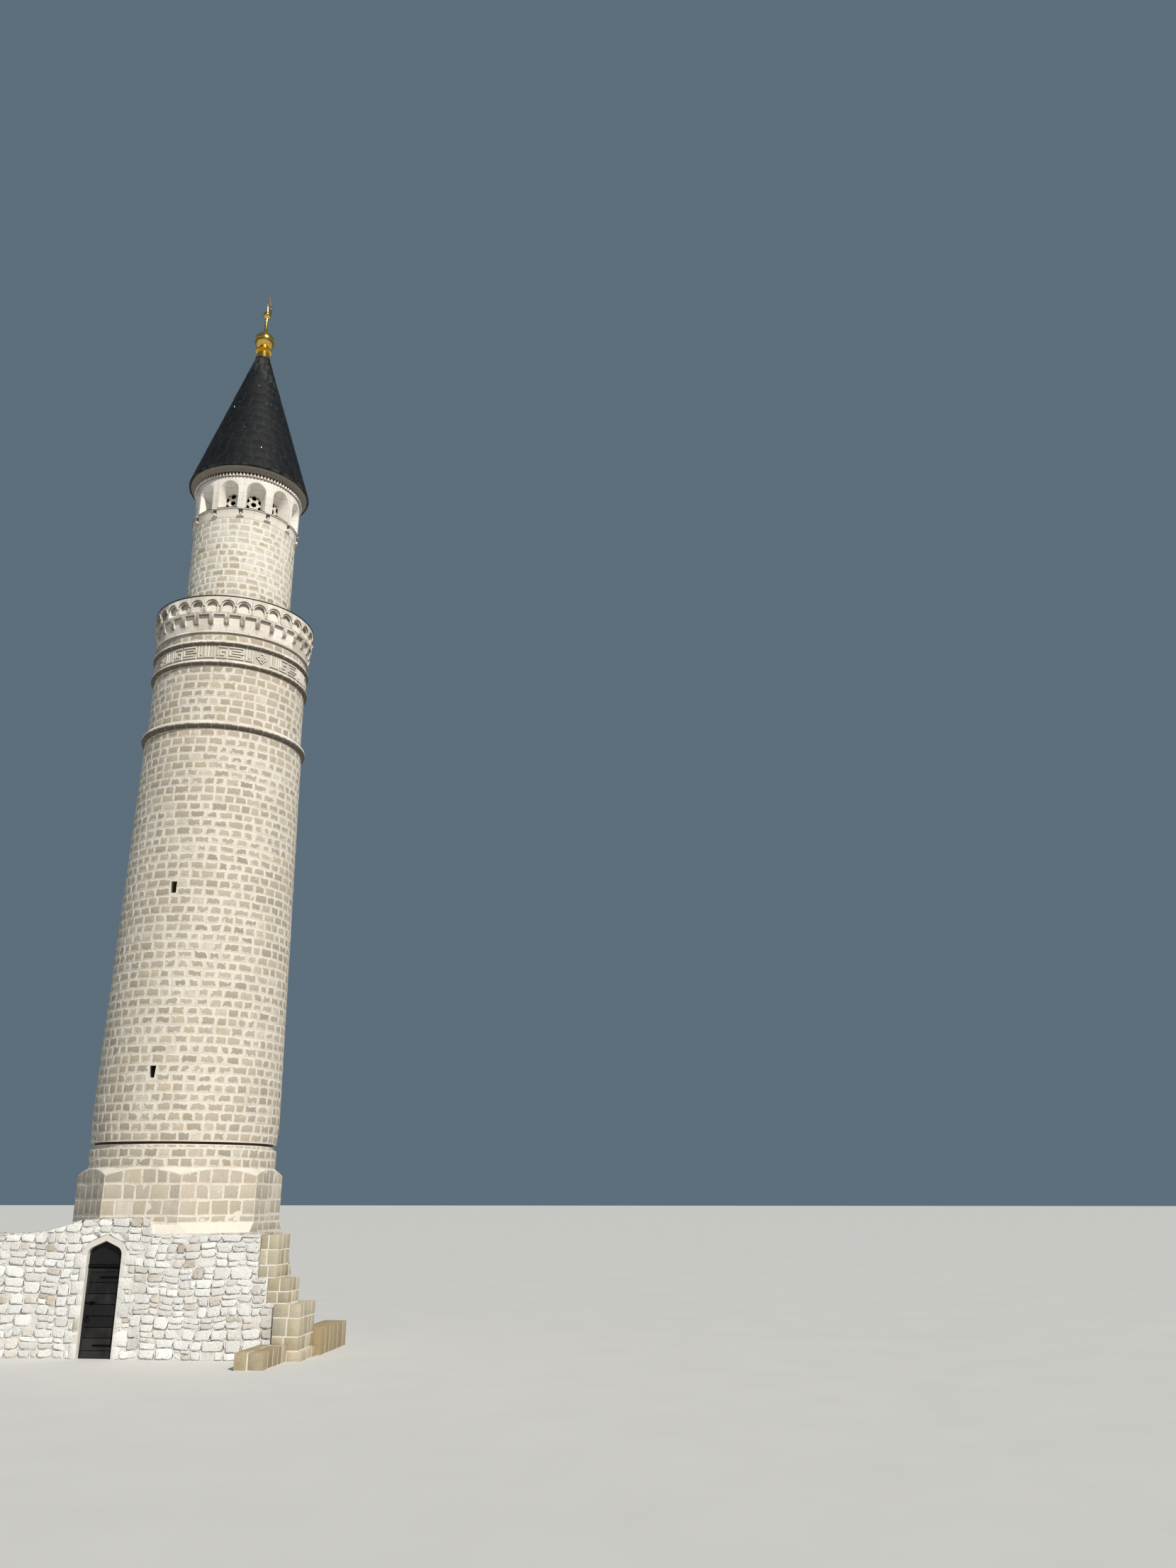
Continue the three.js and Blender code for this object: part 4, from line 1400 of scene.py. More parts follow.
@dataclass
class OctagonStage(Stage):
    """The square base's sides, and the octagon over them with its pointed corner stops."""

    seed: ClassVar[int] = 5
    apothem: float = 2.2903
    stop_top: float = 2.9
    stop_foot: float = 1.67
    stop_start: float = 0.3
    shoulder: float = 3.99
    crown: float = 4.14
    crown_joint: float = 0.012
    front_back: float = -1.57
    lower_beds: tuple[float, ...] = (2.67, 2.9)
    upper_beds: tuple[float, ...] = (2.9, 3.06, 3.42, 3.78, 4.14)
    course: float = 0.31
    overlap: float = 0.008
    ledge: float = 0.118
    floor: float = 0.1
    bed: Bed = Bed(length=0.42, joint=0.034, proud=0.004, rim_drop=0.005, wander=0.012)
    flag_bed: Bed = Bed(length=0.5, joint=0.012, proud=0.004, sunk=0.02)

    @property
    def side(self) -> float:
        """Half the width of an octagon face."""
        return self.apothem * math.tan(math.pi / 8)

    @property
    def stop_length(self) -> float:
        """A corner stop's length up its slope."""
        return math.hypot(self.stop_top - self.stop_foot, self.apothem * (math.sqrt(2) - 1))

    @property
    def wall_line(self) -> float:
        """How far up a corner stop's slope the front wall reaches."""
        return (LEVELS.wall_top - self.stop_foot) / (self.stop_top - self.stop_foot) * self.stop_length

    def right(self, height: float) -> float:
        """Half the width of a face that looks along an axis, at a height."""
        share = np.interp(height, [self.stop_foot, self.stop_top], [1.0, 0.0])
        return self.side + share * (self.apothem - self.side)

    def left(self, height: float) -> float:
        """Where such a face starts, at a height."""
        return -self.right(height)

    def arch(self, along: float) -> float:
        """The height at which a face's arched top cuts it off."""
        drop, corner = (math.hypot(self.apothem, reach) - self.apothem for reach in (along, self.side))
        return self.crown - self.crown_joint - drop / corner * (self.crown - self.shoulder)

    def stop_half(self, up: float) -> float:
        """Half the width of a corner stop, by the length up its slope."""
        return self.side * up / self.stop_length

    def stop_face(self, heading: float) -> Surface:
        """The surface of a corner stop.

        Args:
            heading: Where it faces, in degrees.

        Returns:
            The surface, from the stop's point up its slope.
        """
        corner = self.apothem * math.sqrt(2)
        slope = np.array([self.apothem - corner, self.stop_top - self.stop_foot]) / self.stop_length
        return flat_surface(corner, heading, self.stop_foot, slope)

    def octagon(self) -> None:
        """Lays the eight faces."""
        side = self.side + self.overlap
        for k in range(8):
            surface = flat_surface(self.apothem, 45 * k)
            if k in (2, 4, 6):
                self.mason.courses(self.lower_beds, self.left, self.right, surface, self.bed)
            self.mason.courses(self.upper_beds, even(-side), even(side), surface, self.bed, self.arch)

    def stops(self) -> None:
        """Lays the slanted triangles at the corners."""
        for heading in (45, 135, 225, 315):
            top = self.stop_length if heading in (135, 225) else self.wall_line
            levels = self.mason.levels(self.stop_start, top, self.course, 0.0)
            surface = self.stop_face(heading)
            self.mason.courses(levels, lambda up: -self.stop_half(up), self.stop_half, surface, self.bed)

    def square(self) -> None:
        """Lays the three sides of the square base, and the chamber's walls."""
        inner = LEVELS.inner
        sides = (
            (90, even(self.front_back), self.right),
            (180, self.left, self.right),
            (270, self.left, even(-self.front_back)),
        )
        for beds in pairwise(self.mason.levels(0, LEVELS.wall_top, self.course, 0.04)):
            for heading, left, right in sides:
                self.mason.courses(beds, left, right, flat_surface(self.apothem, heading), self.bed)
            for heading in (0, 90, 270) if beds[0] > 0 else ():
                self.mason.courses(beds, even(-inner), even(inner), flat_surface(-inner, heading), self.bed)

    def flaunching(self) -> None:
        """Builds the limewashed slopes between the front wall's top and the octagon."""
        half, foot, back = self.right(LEVELS.wall_top), LEVELS.wall_top - 0.01, 0.01 - self.apothem
        front, top = -self.apothem - self.ledge, self.stop_top - 0.01
        section = [(-half, front, foot), (-half, back, foot), (-half, back, top)]
        slope = Workpiece.traced(section, (2 * half, 0, 0))
        for side in (-1, 1):
            way = (side * (self.side - half), 0, 0)
            slope.moved(lambda place, side=side: place.z > foot + 0.1 and place.x * side > 0, way)
        forms = [slope.softened(0.01, 2).form()]
        low, high = self.wall_line, self.stop_length
        narrow, broad = self.stop_half(low), self.stop_half(high)
        u, v = np.array([-narrow, narrow, broad, -broad]), np.array([low, low, high, high])
        for heading in (45, -45):
            surface = self.stop_face(heading)
            points = surface(u, v, np.full(4, 0.006))
            inward = surface(u[:1], v[:1], np.full(1, -0.04)) - points[:1]
            forms.append(Workpiece.traced(points, tuple(inward[0])).softened(0.008).form())
        for form in forms:
            self.mason.heap.add(form, form.points)
        placed("wall_flaunching", self.mason.wall(), Finish.MORTAR)

    def build(self) -> None:
        """Builds the square base's sides and the octagon."""
        walls = ("base_wall_west", "base_wall_east", "base_wall_back", *quarters("octagon"))
        self.dress(Finish.MORTAR, *walls)
        self.dress(Finish.FLAGS, "chamber_floor", "lantern_floor")
        self.octagon()
        self.stops()
        self.square()
        placed("octagon_stones", self.mason.wall(), Finish.OCTAGON)
        self.flaunching()
        inner = LEVELS.inner
        surface = flat_surface(inner, 0, self.floor, (-1.0, 0.0))
        self.mason.courses(np.linspace(0, 2 * inner, 6), even(-inner), even(inner), surface, self.flag_bed)
        placed("chamber_flags", self.mason.wall(), Finish.FLAGS)


@dataclass(frozen=True)
class Arch:
    """The doorway's pointed arch."""

    centre: float = -0.66
    half: float = 0.41
    spring: float = 2.22
    rise: float = 0.3
    haunch: float = 0.18

    @property
    def reach(self) -> float:
        """How far from the middle the haunches' centres are."""
        return self.half - self.haunch

    @property
    def slant(self) -> float:
        """How steeply the arch's straight part stands, as an angle from the upright."""
        return math.atan2(self.reach, self.rise) + math.asin(self.haunch / math.hypot(self.reach, self.rise))

    def outline(self, margin: float, foot: float) -> Array:
        """The arch's convex outline, counterclockwise.

        Args:
            margin: How far outside the opening it runs.
            foot: The height of its foot.

        Returns:
            Its points, across the wall and up it.
        """
        peak = self.spring + self.rise + margin / math.sin(self.slant)
        heights = [*np.linspace(peak - 1e-6, self.spring, 9)[1:], foot]
        left = [(self.centre - self.half_at(margin, z), z) for z in heights]
        right = [(self.centre + self.half_at(margin, z), z) for z in heights[::-1]]
        return np.array([(self.centre, peak), *left, *right])

    def half_at(self, margin: float, height: float) -> float:
        """Half the width of the arch at a height.

        Args:
            margin: How far outside the opening the outline runs.
            height: The height.

        Returns:
            Half the width, or zero above the point.
        """
        radius, up = self.haunch + margin, height - self.spring
        if up <= 0:
            return self.half + margin
        if up < radius * math.sin(self.slant):
            return self.reach + math.sqrt(radius**2 - up**2)
        peak = self.rise + margin / math.sin(self.slant)
        share = (peak - up) / (peak - radius * math.sin(self.slant))
        return max(0.0, share) * (self.reach + radius * math.cos(self.slant))


@dataclass
class FrontWall(Stage):
    """The thick limewashed rubble wall at the front, with its ragged crest."""

    seed: ClassVar[int] = 17
    nodes: ClassVar[tuple[str, ...]] = (
        "front_wall_west", "front_wall_east", "front_wall_lintel", "rubble_crest",
    )
    west: float = -3.44
    face: float = -2.42
    back: float = -1.57
    sink: float = 0.017
    crest_sink: float = 0.002
    jamb_face: float = -2.443
    jamb_course: float = 0.29
    margin: float = 0.125
    crest: Profile = (
        (-2.6, 2.67), (-2.09, 2.74), (-1.59, 2.88), (-1.34, 2.97),
        (-0.74, 3.0), (0.12, 3.04), (0.33, 2.97), (0.43, 2.67),
    )
    crest_top: float = 3.06
    crest_depth: float = 0.24
    ends: Profile = ((1.2, 3.46), (1.74, 3.26), (2.67, 3.02))
    half_depth: float = 2.2903
    tuck: float = 0.35
    arch: Arch = Arch()
    bed: Bed = Bed(
        length=0.35, height=0.195, joint=0.014, rim_drop=0.014, proud=0.0, sunk=0.06, vary=0.7, wander=0.011,
        rough=0.006, lean=0.05, sag=(0.04, 0.09),
    )
    dressed: Bed = Bed(joint=0.018, rim=0.012, rim_drop=0.006, proud=0.0, rough=0.001)

    def top_at(self, along: float) -> float:
        """The height of the crest at a place along the wall."""
        return float(np.interp(along, *zip(*self.crest, strict=True)))

    def core(self) -> Workpiece:
        """Copies the wall's solids and sinks their faces behind the stones.

        Returns:
            The mortared core.
        """
        deselect()
        for node in self.nodes:
            copy = bpy.data.objects.new("core", self.frame["nodes"][node].data.copy())
            bpy.context.scene.collection.objects.link(copy)
            copy.select_set(True)
            bpy.context.view_layer.objects.active = copy
        bpy.ops.object.join()
        core = Workpiece()
        with core.picked(Part.POINTS):
            bpy.ops.mesh.remove_doubles(threshold=WELD)
        core.moved(lambda p: p.y < self.face + NEAR, (0, self.sink, 0))
        core.moved(lambda p: p.x < self.west + NEAR, (self.sink, 0, 0))
        core.moved(lambda p: abs(p.y - self.back) < NEAR, (0, -self.sink, 0))
        return core.moved(lambda p: p.z > LEVELS.wall_top - NEAR, (0, 0, -self.crest_sink))

    def jambs(self) -> list[Array]:
        """Lays the dressed stones beside the doorway, long and short in turn.

        Returns:
            Their outlines.
        """
        outlines, surface = [], flat_surface(-self.jamb_face, 0)
        for side in (-1, 1):
            levels = self.mason.levels(0.0, self.arch.spring, self.jamb_course, 0.25)
            for k, (low, high) in enumerate(pairwise(levels)):
                near = self.arch.centre + side * (self.arch.half + 0.002)
                far = near + side * self.mason.chance.uniform(0.15, 0.19) * (1.8 if k % 2 else 1.0)
                outlines.append(rectangle(min(near, far), low, max(near, far), high))
                self.mason.lay(outlines[-1], surface, self.dressed)
        return outlines

    def front(self) -> None:
        """Lays the front face."""
        foot = -0.5
        outlines = [self.arch.outline(self.margin, foot), *self.jambs()]
        for top, end in self.ends:
            outlines.append(rectangle(end, foot, end + 2, top))
            foot = top
        corner, surface = (self.ends[0][1], self.crest_top), flat_surface(-self.face, 0)
        self.mason.rubble((self.west, 0), corner, surface, self.bed, outlines, self.top_at)

    def tops(self) -> None:
        """Lays the upper side, the crest's included."""

        def carry(along: Array, up: Array, out: Array) -> Array:
            """Carries points to the upper side."""
            level = np.array([self.top_at(a) for a in along])
            return np.stack([along, self.face + up, level - 0.006 + out], axis=1)

        near, deep = self.half_depth - self.tuck, self.back - self.face
        stretches = (
            (self.west, -near, deep),
            (-near, self.crest[-1][0], self.crest_depth),
            (near, self.ends[-1][1], deep),
        )
        for start, end, depth in stretches:
            self.mason.rubble((start, 0), (end, depth), carry, self.bed)

    def ends_and_back(self) -> None:
        """Lays the west end and the two wings' backs."""
        top, right = LEVELS.wall_top, self.ends[0][1]
        back = flat_surface(self.back, 180)
        self.mason.rubble((-self.back, 0), (-self.face, top), flat_surface(-self.west, -90), self.bed)
        self.mason.rubble((self.half_depth, 0), (-self.west, top), back, self.bed)
        steps = [rectangle(-right, z, -end, top + 1) for (z, _), (_, end) in pairwise(self.ends)]
        self.mason.rubble((-right, 0), (-self.half_depth, top), back, self.bed, steps)

    def build(self) -> None:
        """Builds the front wall."""
        placed("front_wall_mortar", self.core(), Finish.LIME, stands_for=self.nodes)
        self.front()
        self.tops()
        self.ends_and_back()
        placed("front_wall_stones", self.mason.wall(), Finish.RUBBLE, smooth=50)


@dataclass(frozen=True)
class Pile:
    """A box of sawn blocks.

    Attributes:
        node: The CAD node it stands for.
        low: Its lowest corner.
        high: Its highest corner.
        block: A block's usual length along X and Y, and its height.
        hues: The lowest and highest hue of its blocks.
    """

    node: str
    low: tuple[float, float, float]
    high: tuple[float, float, float]
    block: tuple[float, float, float]
    hues: tuple[float, float] = (0.45, 1.0)


@dataclass
class SteppedEnd(Stage):
    """The wall's stepped end of tan ashlar, the bench before it and the low wall behind it."""

    seed: ClassVar[int] = 29
    piles: tuple[Pile, ...] = (
        Pile("corner_quoin", (3.02, -2.42, 1.74), (3.46, -1.57, 2.67), (0.26, 0.3, 0.31)),
        Pile("middle_step", (3.26, -2.42, 1.2), (3.78, -1.63, 1.74), (0.3, 0.28, 0.27)),
        Pile("lower_step", (3.46, -2.5, 0.22), (4.1, -1.34, 1.2), (0.33, 0.27, 0.33)),
        Pile("lower_step", (3.46, -2.5, 0.0), (4.18, -1.34, 0.22), (0.36, 0.4, 0.22)),
        Pile("low_side_wall", (3.7, -1.34, 0.0), (4.27, 0.8, 0.59), (0.57, 0.36, 0.59), (0.1, 0.7)),
        Pile("front_bench", (3.2, -4.04, 0.0), (3.86, -2.5, 0.37), (0.33, 0.3, 0.37), (0.05, 0.6)),
    )
    joint: float = 0.03
    edge: float = 0.005
    recess: float = 0.0205
    root: float = 0.03
    vary: float = 0.22

    def fill(self, form: Form, pile: Pile) -> None:
        """Lays a pile.

        Args:
            form: The block that is copied.
            pile: The pile.
        """
        self.mason.hues = pile.hues
        spans = list(zip(pile.low, pile.high, pile.block, strict=True))
        for foot, top in pairwise(self.mason.levels(*spans[2], self.vary)):
            for left, right in pairwise(self.mason.levels(*spans[0], self.vary)):
                for front, back in pairwise(self.mason.levels(*spans[1], self.vary)):
                    self.set_block(form, (left, front, foot), (right, back, top))

    def set_block(self, form: Form, low: Sequence[float], high: Sequence[float]) -> None:
        """Lays one block.

        Args:
            form: The block that is copied.
            low: Its lowest corner, with its share of the joints.
            high: Its highest corner.
        """
        axes, edges = [], []
        for i, (a, b) in enumerate(zip(low, high, strict=True)):
            half = (b - a - self.joint) / 2
            worn = self.edge * self.mason.chance.uniform(0.7, 1.6)
            value = np.interp(form.points[:, i], UNIT_STEPS, [-half, worn - half, half - worn, half])
            axes.append((a + b) / 2 + value + self.mason.chance.normal(0, 0.0015))
            edges.append(half - np.abs(value))
        depth = np.sort(np.stack(edges, axis=1), axis=1)
        self.mason.heap.add(form, np.stack(axes, axis=1), depth[:, 1:], self.mason.tint())

    def build(self) -> None:
        """Builds the piles and the mortar in them."""
        cube = (-0.5, -0.5, -0.5), (0.5, 0.5, 0.5)
        form = Workpiece.box(*cube).softened(0.1, 2).form()
        for pile in self.piles:
            self.fill(form, pile)
        placed("stepped_end_blocks", self.mason.wall(), Finish.TAN)
        core = Workpiece.box(*cube).form()
        for pile in self.piles:
            low, high = np.array(pile.low) + self.recess, np.array(pile.high) - self.recess
            low[2] = max(pile.low[2] - self.root, 0)
            self.mason.heap.add(core, (low + high) / 2 + core.points * (high - low))
        nodes = sorted({pile.node for pile in self.piles})
        placed("stepped_end_mortar", self.mason.wall(), Finish.PALE_MORTAR, stands_for=nodes)


@dataclass
class Doorway(Stage):
    """The stone surround, the studded iron panel in its arch, and the iron-clad leaf."""

    seed: ClassVar[int] = 83
    forged: ClassVar[tuple[str, ...]] = (
        "door_strap_upper", "door_strap_lower", "door_latch", "door_ring",
        "door_pintle_upper", "door_pintle_lower",
    )
    arch: Arch = Arch()
    leaf_low: tuple[float, float] = (-1.059, 0.01)
    leaf_high: tuple[float, float] = (-0.264, 1.915)
    leaf_face: float = -2.325
    leaf_back: float = -2.28
    seams: tuple[float, ...] = (0.01, 0.166, 0.428, 0.658, 0.897, 1.142, 1.374, 1.61, 1.84, 1.915)
    stile: float = 0.045
    strap_levels: tuple[float, ...] = (1.718, 0.272)
    strap_front: float = -2.3373
    transom: float = 1.925
    transom_face: float = -2.335
    tympanum_face: float = -2.315
    rivet: tuple[float, float] = (0.0075, 0.005)
    strap_rivet: tuple[float, float] = (0.009, 0.006)
    worn_edge: float = 0.0025
    worn_stone_edge: float = 0.008
    sheet_bed: Bed = Bed(
        joint=0.021, rim=0.004, rim_drop=0.0015, proud=0.001, sunk=0.004, rough=0.0006, lap=0.006
    )
    stile_bed: Bed = Bed(joint=0.001, rim=0.004, rim_drop=0.002, proud=0.008, sunk=0.0, rough=0.0)

    def heads(self, size: tuple[float, float], places: Sequence[Sequence[float]]) -> None:
        """Sets rivets.

        Args:
            size: The radius of a rivet's head, and how far it stands out.
            places: Where the heads go.
        """
        scale = (size[0], size[1], size[0])
        ball = {"segments": 10, "ring_count": 6, "radius": 1.0, "scale": scale}
        head = Workpiece.added(bpy.ops.mesh.primitive_uv_sphere_add, **ball).form()
        for place in places:
            self.mason.heap.add(head, head.points + place)

    def leaf(self) -> None:
        """Builds the leaf: its core, its iron sheets and their rivets."""
        (left, foot), (right, top) = self.leaf_low, self.leaf_high
        ends = (left + 0.002, self.leaf_face + 0.003, foot), (right - 0.002, self.leaf_back, top)
        core = Workpiece.box(*ends).softened(0.004)
        placed("door_leaf_core", core, Finish.FORGED, Body.DOOR, ["door_leaf"])
        surface = flat_surface(-self.leaf_face, 0)
        for low, high in pairwise(self.seams):
            self.mason.lay(rectangle(left, low - 0.006, right, high), surface, self.sheet_bed)
        for x0, x1 in ((left, left + self.stile), (right - self.stile, right)):
            self.mason.lay(rectangle(x0, foot, x1, top), surface, self.stile_bed)
        columns, face = np.linspace(left + 0.07, right - 0.07, 10), self.leaf_face
        seams = [level + 0.012 for level in self.seams[1:-1]]
        self.heads(self.rivet, [(x, face - 0.006, z) for z in seams for x in columns])
        edges, rows = (left + 0.022, right - 0.022), np.linspace(foot + 0.05, top - 0.05, 17)
        self.heads(self.rivet, [(x, face - 0.008, z) for z in rows for x in edges])
        columns = np.linspace(right - 0.06, right - 0.47, 5)
        places = [(x, self.strap_front, z) for z in self.strap_levels for x in columns]
        self.heads(self.strap_rivet, places)
        placed("door_sheets", self.mason.wall(), Finish.IRON, Body.DOOR, smooth=40)

    def panel(self) -> None:
        """Builds the cross bar with its studs, and the rivets round the arch."""
        centre, reach, face, foot = self.arch.centre, self.arch.half - 0.004, self.transom_face, self.transom
        for low, high, out in ((0.004, 0.071, 0.003), (0.002, 0.014, 0.007), (0.061, 0.073, 0.007)):
            ends = (centre - reach, face - out, foot + low), (centre + reach, face + 0.002, foot + high)
            form = Workpiece.box(*ends).softened(0.002).form()
            self.mason.heap.add(form, form.points)
        placed("door_cross_bar", self.mason.wall(), Finish.FORGED)
        cone = {"vertices": 4, "radius1": 0.019, "radius2": 0.003, "depth": 0.012, "rotation": TOWARDS_DOOR}
        stud = Workpiece.added(bpy.ops.mesh.primitive_cone_add, **cone).form()
        reach = self.arch.half - 0.03
        for x in np.linspace(-reach, reach, 19):
            self.mason.heap.add(stud, stud.points + (centre + x, face - 0.005, foot + 0.0375))
        rows = np.linspace(2.03, 2.44, 8)
        sides = [(side * self.arch.half_at(-0.028, z), z) for z in rows for side in (-1, 1)]
        self.heads(self.rivet, [(centre + x, self.tympanum_face, z) for x, z in sides])
        placed("door_panel_studs", self.mason.wall(), Finish.IRON, smooth=25)

    def build(self) -> None:
        """Builds the doorway."""
        self.dress(Finish.SURROUND, "door_surround")
        self.dress(Finish.IRON, "door_tympanum")
        self.dress(Finish.FORGED, *self.forged)
        for node in (*self.forged, "door_tympanum", "door_surround"):
            worn = self.frame["nodes"][node].modifiers.new("worn_edges", "BEVEL")
            worn.width = self.worn_stone_edge if node == "door_surround" else self.worn_edge
            worn.segments = 2
            worn.limit_method = "ANGLE"
        self.leaf()
        self.panel()


@dataclass
class RoundStages(Stage):
    """The drum, the groove, the tapering shaft and the neck.

    Attributes:
        slits: The foot of each slit, and its width at its top and at its foot.
    """

    seed: ClassVar[int] = 11
    drum_radius: float = 2.273
    groove_radius: float = 2.209
    groove_shade: float = 4.69
    shaft_heights: tuple[float, ...] = (4.75, 5.3, 15.37)
    shaft_radii: tuple[float, ...] = (2.267, 2.301, 2.127)
    neck_radii: tuple[float, float] = (2.09, 2.075)
    course: float = 0.233
    slit_x: float = -0.06
    slits: tuple[tuple[float, float, float], ...] = ((6.23, 0.165, 0.12), (10.85, 0.125, 0.115))
    slit_height: float = 0.29
    slit_lip: float = -2.25
    slit_margin: float = 0.02
    recess: float = 0.002
    bed: Bed = Bed(joint=0.03, proud=0.004, rim_drop=0.005)
    shaft_bed: Bed = Bed(joint=0.034, proud=0.004, rim_drop=0.005)

    def shaft_radius(self, height: Array) -> Array:
        """The shaft's radius at each height."""
        return np.interp(height, self.shaft_heights, self.shaft_radii)

    def neck_radius(self, height: Array) -> Array:
        """The neck's radius at each height."""
        return np.interp(height, [LEVELS.neck, LEVELS.lower_ring], self.neck_radii)

    def core(self, heights: Sequence[float], radius: Line) -> Workpiece:
        """Turns the mortared wall that stones are set in, by its radius at some heights."""
        return Workpiece.tube(LEVELS.inner, *((float(radius(z)) - self.recess, z) for z in heights))

    def shaft(self) -> None:
        """Builds the shaft with its two slits."""
        wall = self.core(self.shaft_heights, self.shaft_radius)
        gaps = []
        for level, head, foot in self.slits:
            corners = [(-foot, 0), (foot, 0), (head, self.slit_height), (-head, self.slit_height)]
            outline = [(self.slit_x + x / 2, level + z) for x, z in corners]
            wall.cut_by(Workpiece.panel(outline, -3.0, 0.9))
            splay = Workpiece.panel(outline, self.slit_lip, 1.3)
            middle = (self.slit_x, 0, level + self.slit_height / 2)
            with splay.picked(Part.POINTS, lambda place: place.y > self.slit_lip + 1):
                bpy.ops.transform.resize(value=(7, 1, 2.5), center_override=middle)
            wall.cut_by(splay)
            reach = head / 2 + self.slit_margin
            left, right, top = self.slit_x - reach, self.slit_x + reach, level + self.slit_height
            gaps.append((left, right, level - 0.01, top + 0.01))
        placed("shaft_mortar", wall, Finish.MORTAR, stands_for=quarters("shaft"))
        levels = self.mason.levels(LEVELS.shaft, LEVELS.string, self.course)
        self.mason.ring(levels, self.shaft_radius, self.shaft_bed, gaps)
        placed("shaft_stones", self.mason.wall(), Finish.SHAFT)

    def build(self) -> None:
        """Builds the round stages up to the frieze."""
        self.shaft()
        neck = (LEVELS.neck, LEVELS.lower_ring)
        drum, groove, shade = map(even, (self.drum_radius, self.groove_radius, self.groove_radius - 0.03))
        cores = (
            ("drum_mortar", (LEVELS.drum, LEVELS.groove), drum, Finish.MORTAR, ["drum_course"]),
            ("groove_mortar", (LEVELS.groove, self.groove_shade), groove, Finish.MORTAR, ["groove_course"]),
            # The top band of the groove is painted near black as the shadow under the shaft's foot.
            ("groove_shade", (self.groove_shade, LEVELS.shaft), shade, Finish.STAINED, ()),
            ("neck_mortar", neck, self.neck_radius, Finish.MORTAR, quarters("neck")),
        )
        for name, heights, radius, finish, nodes in cores:
            placed(name, self.core(heights, radius), finish, stands_for=nodes)
        self.mason.ring(np.linspace(LEVELS.drum, LEVELS.groove, 3), drum, self.bed)
        self.mason.ring((LEVELS.groove, self.groove_shade), groove, self.bed)
        self.mason.ring(self.mason.levels(*neck, self.course), self.neck_radius, self.bed)
        placed("round_stage_stones", self.mason.wall(), Finish.SHAFT)


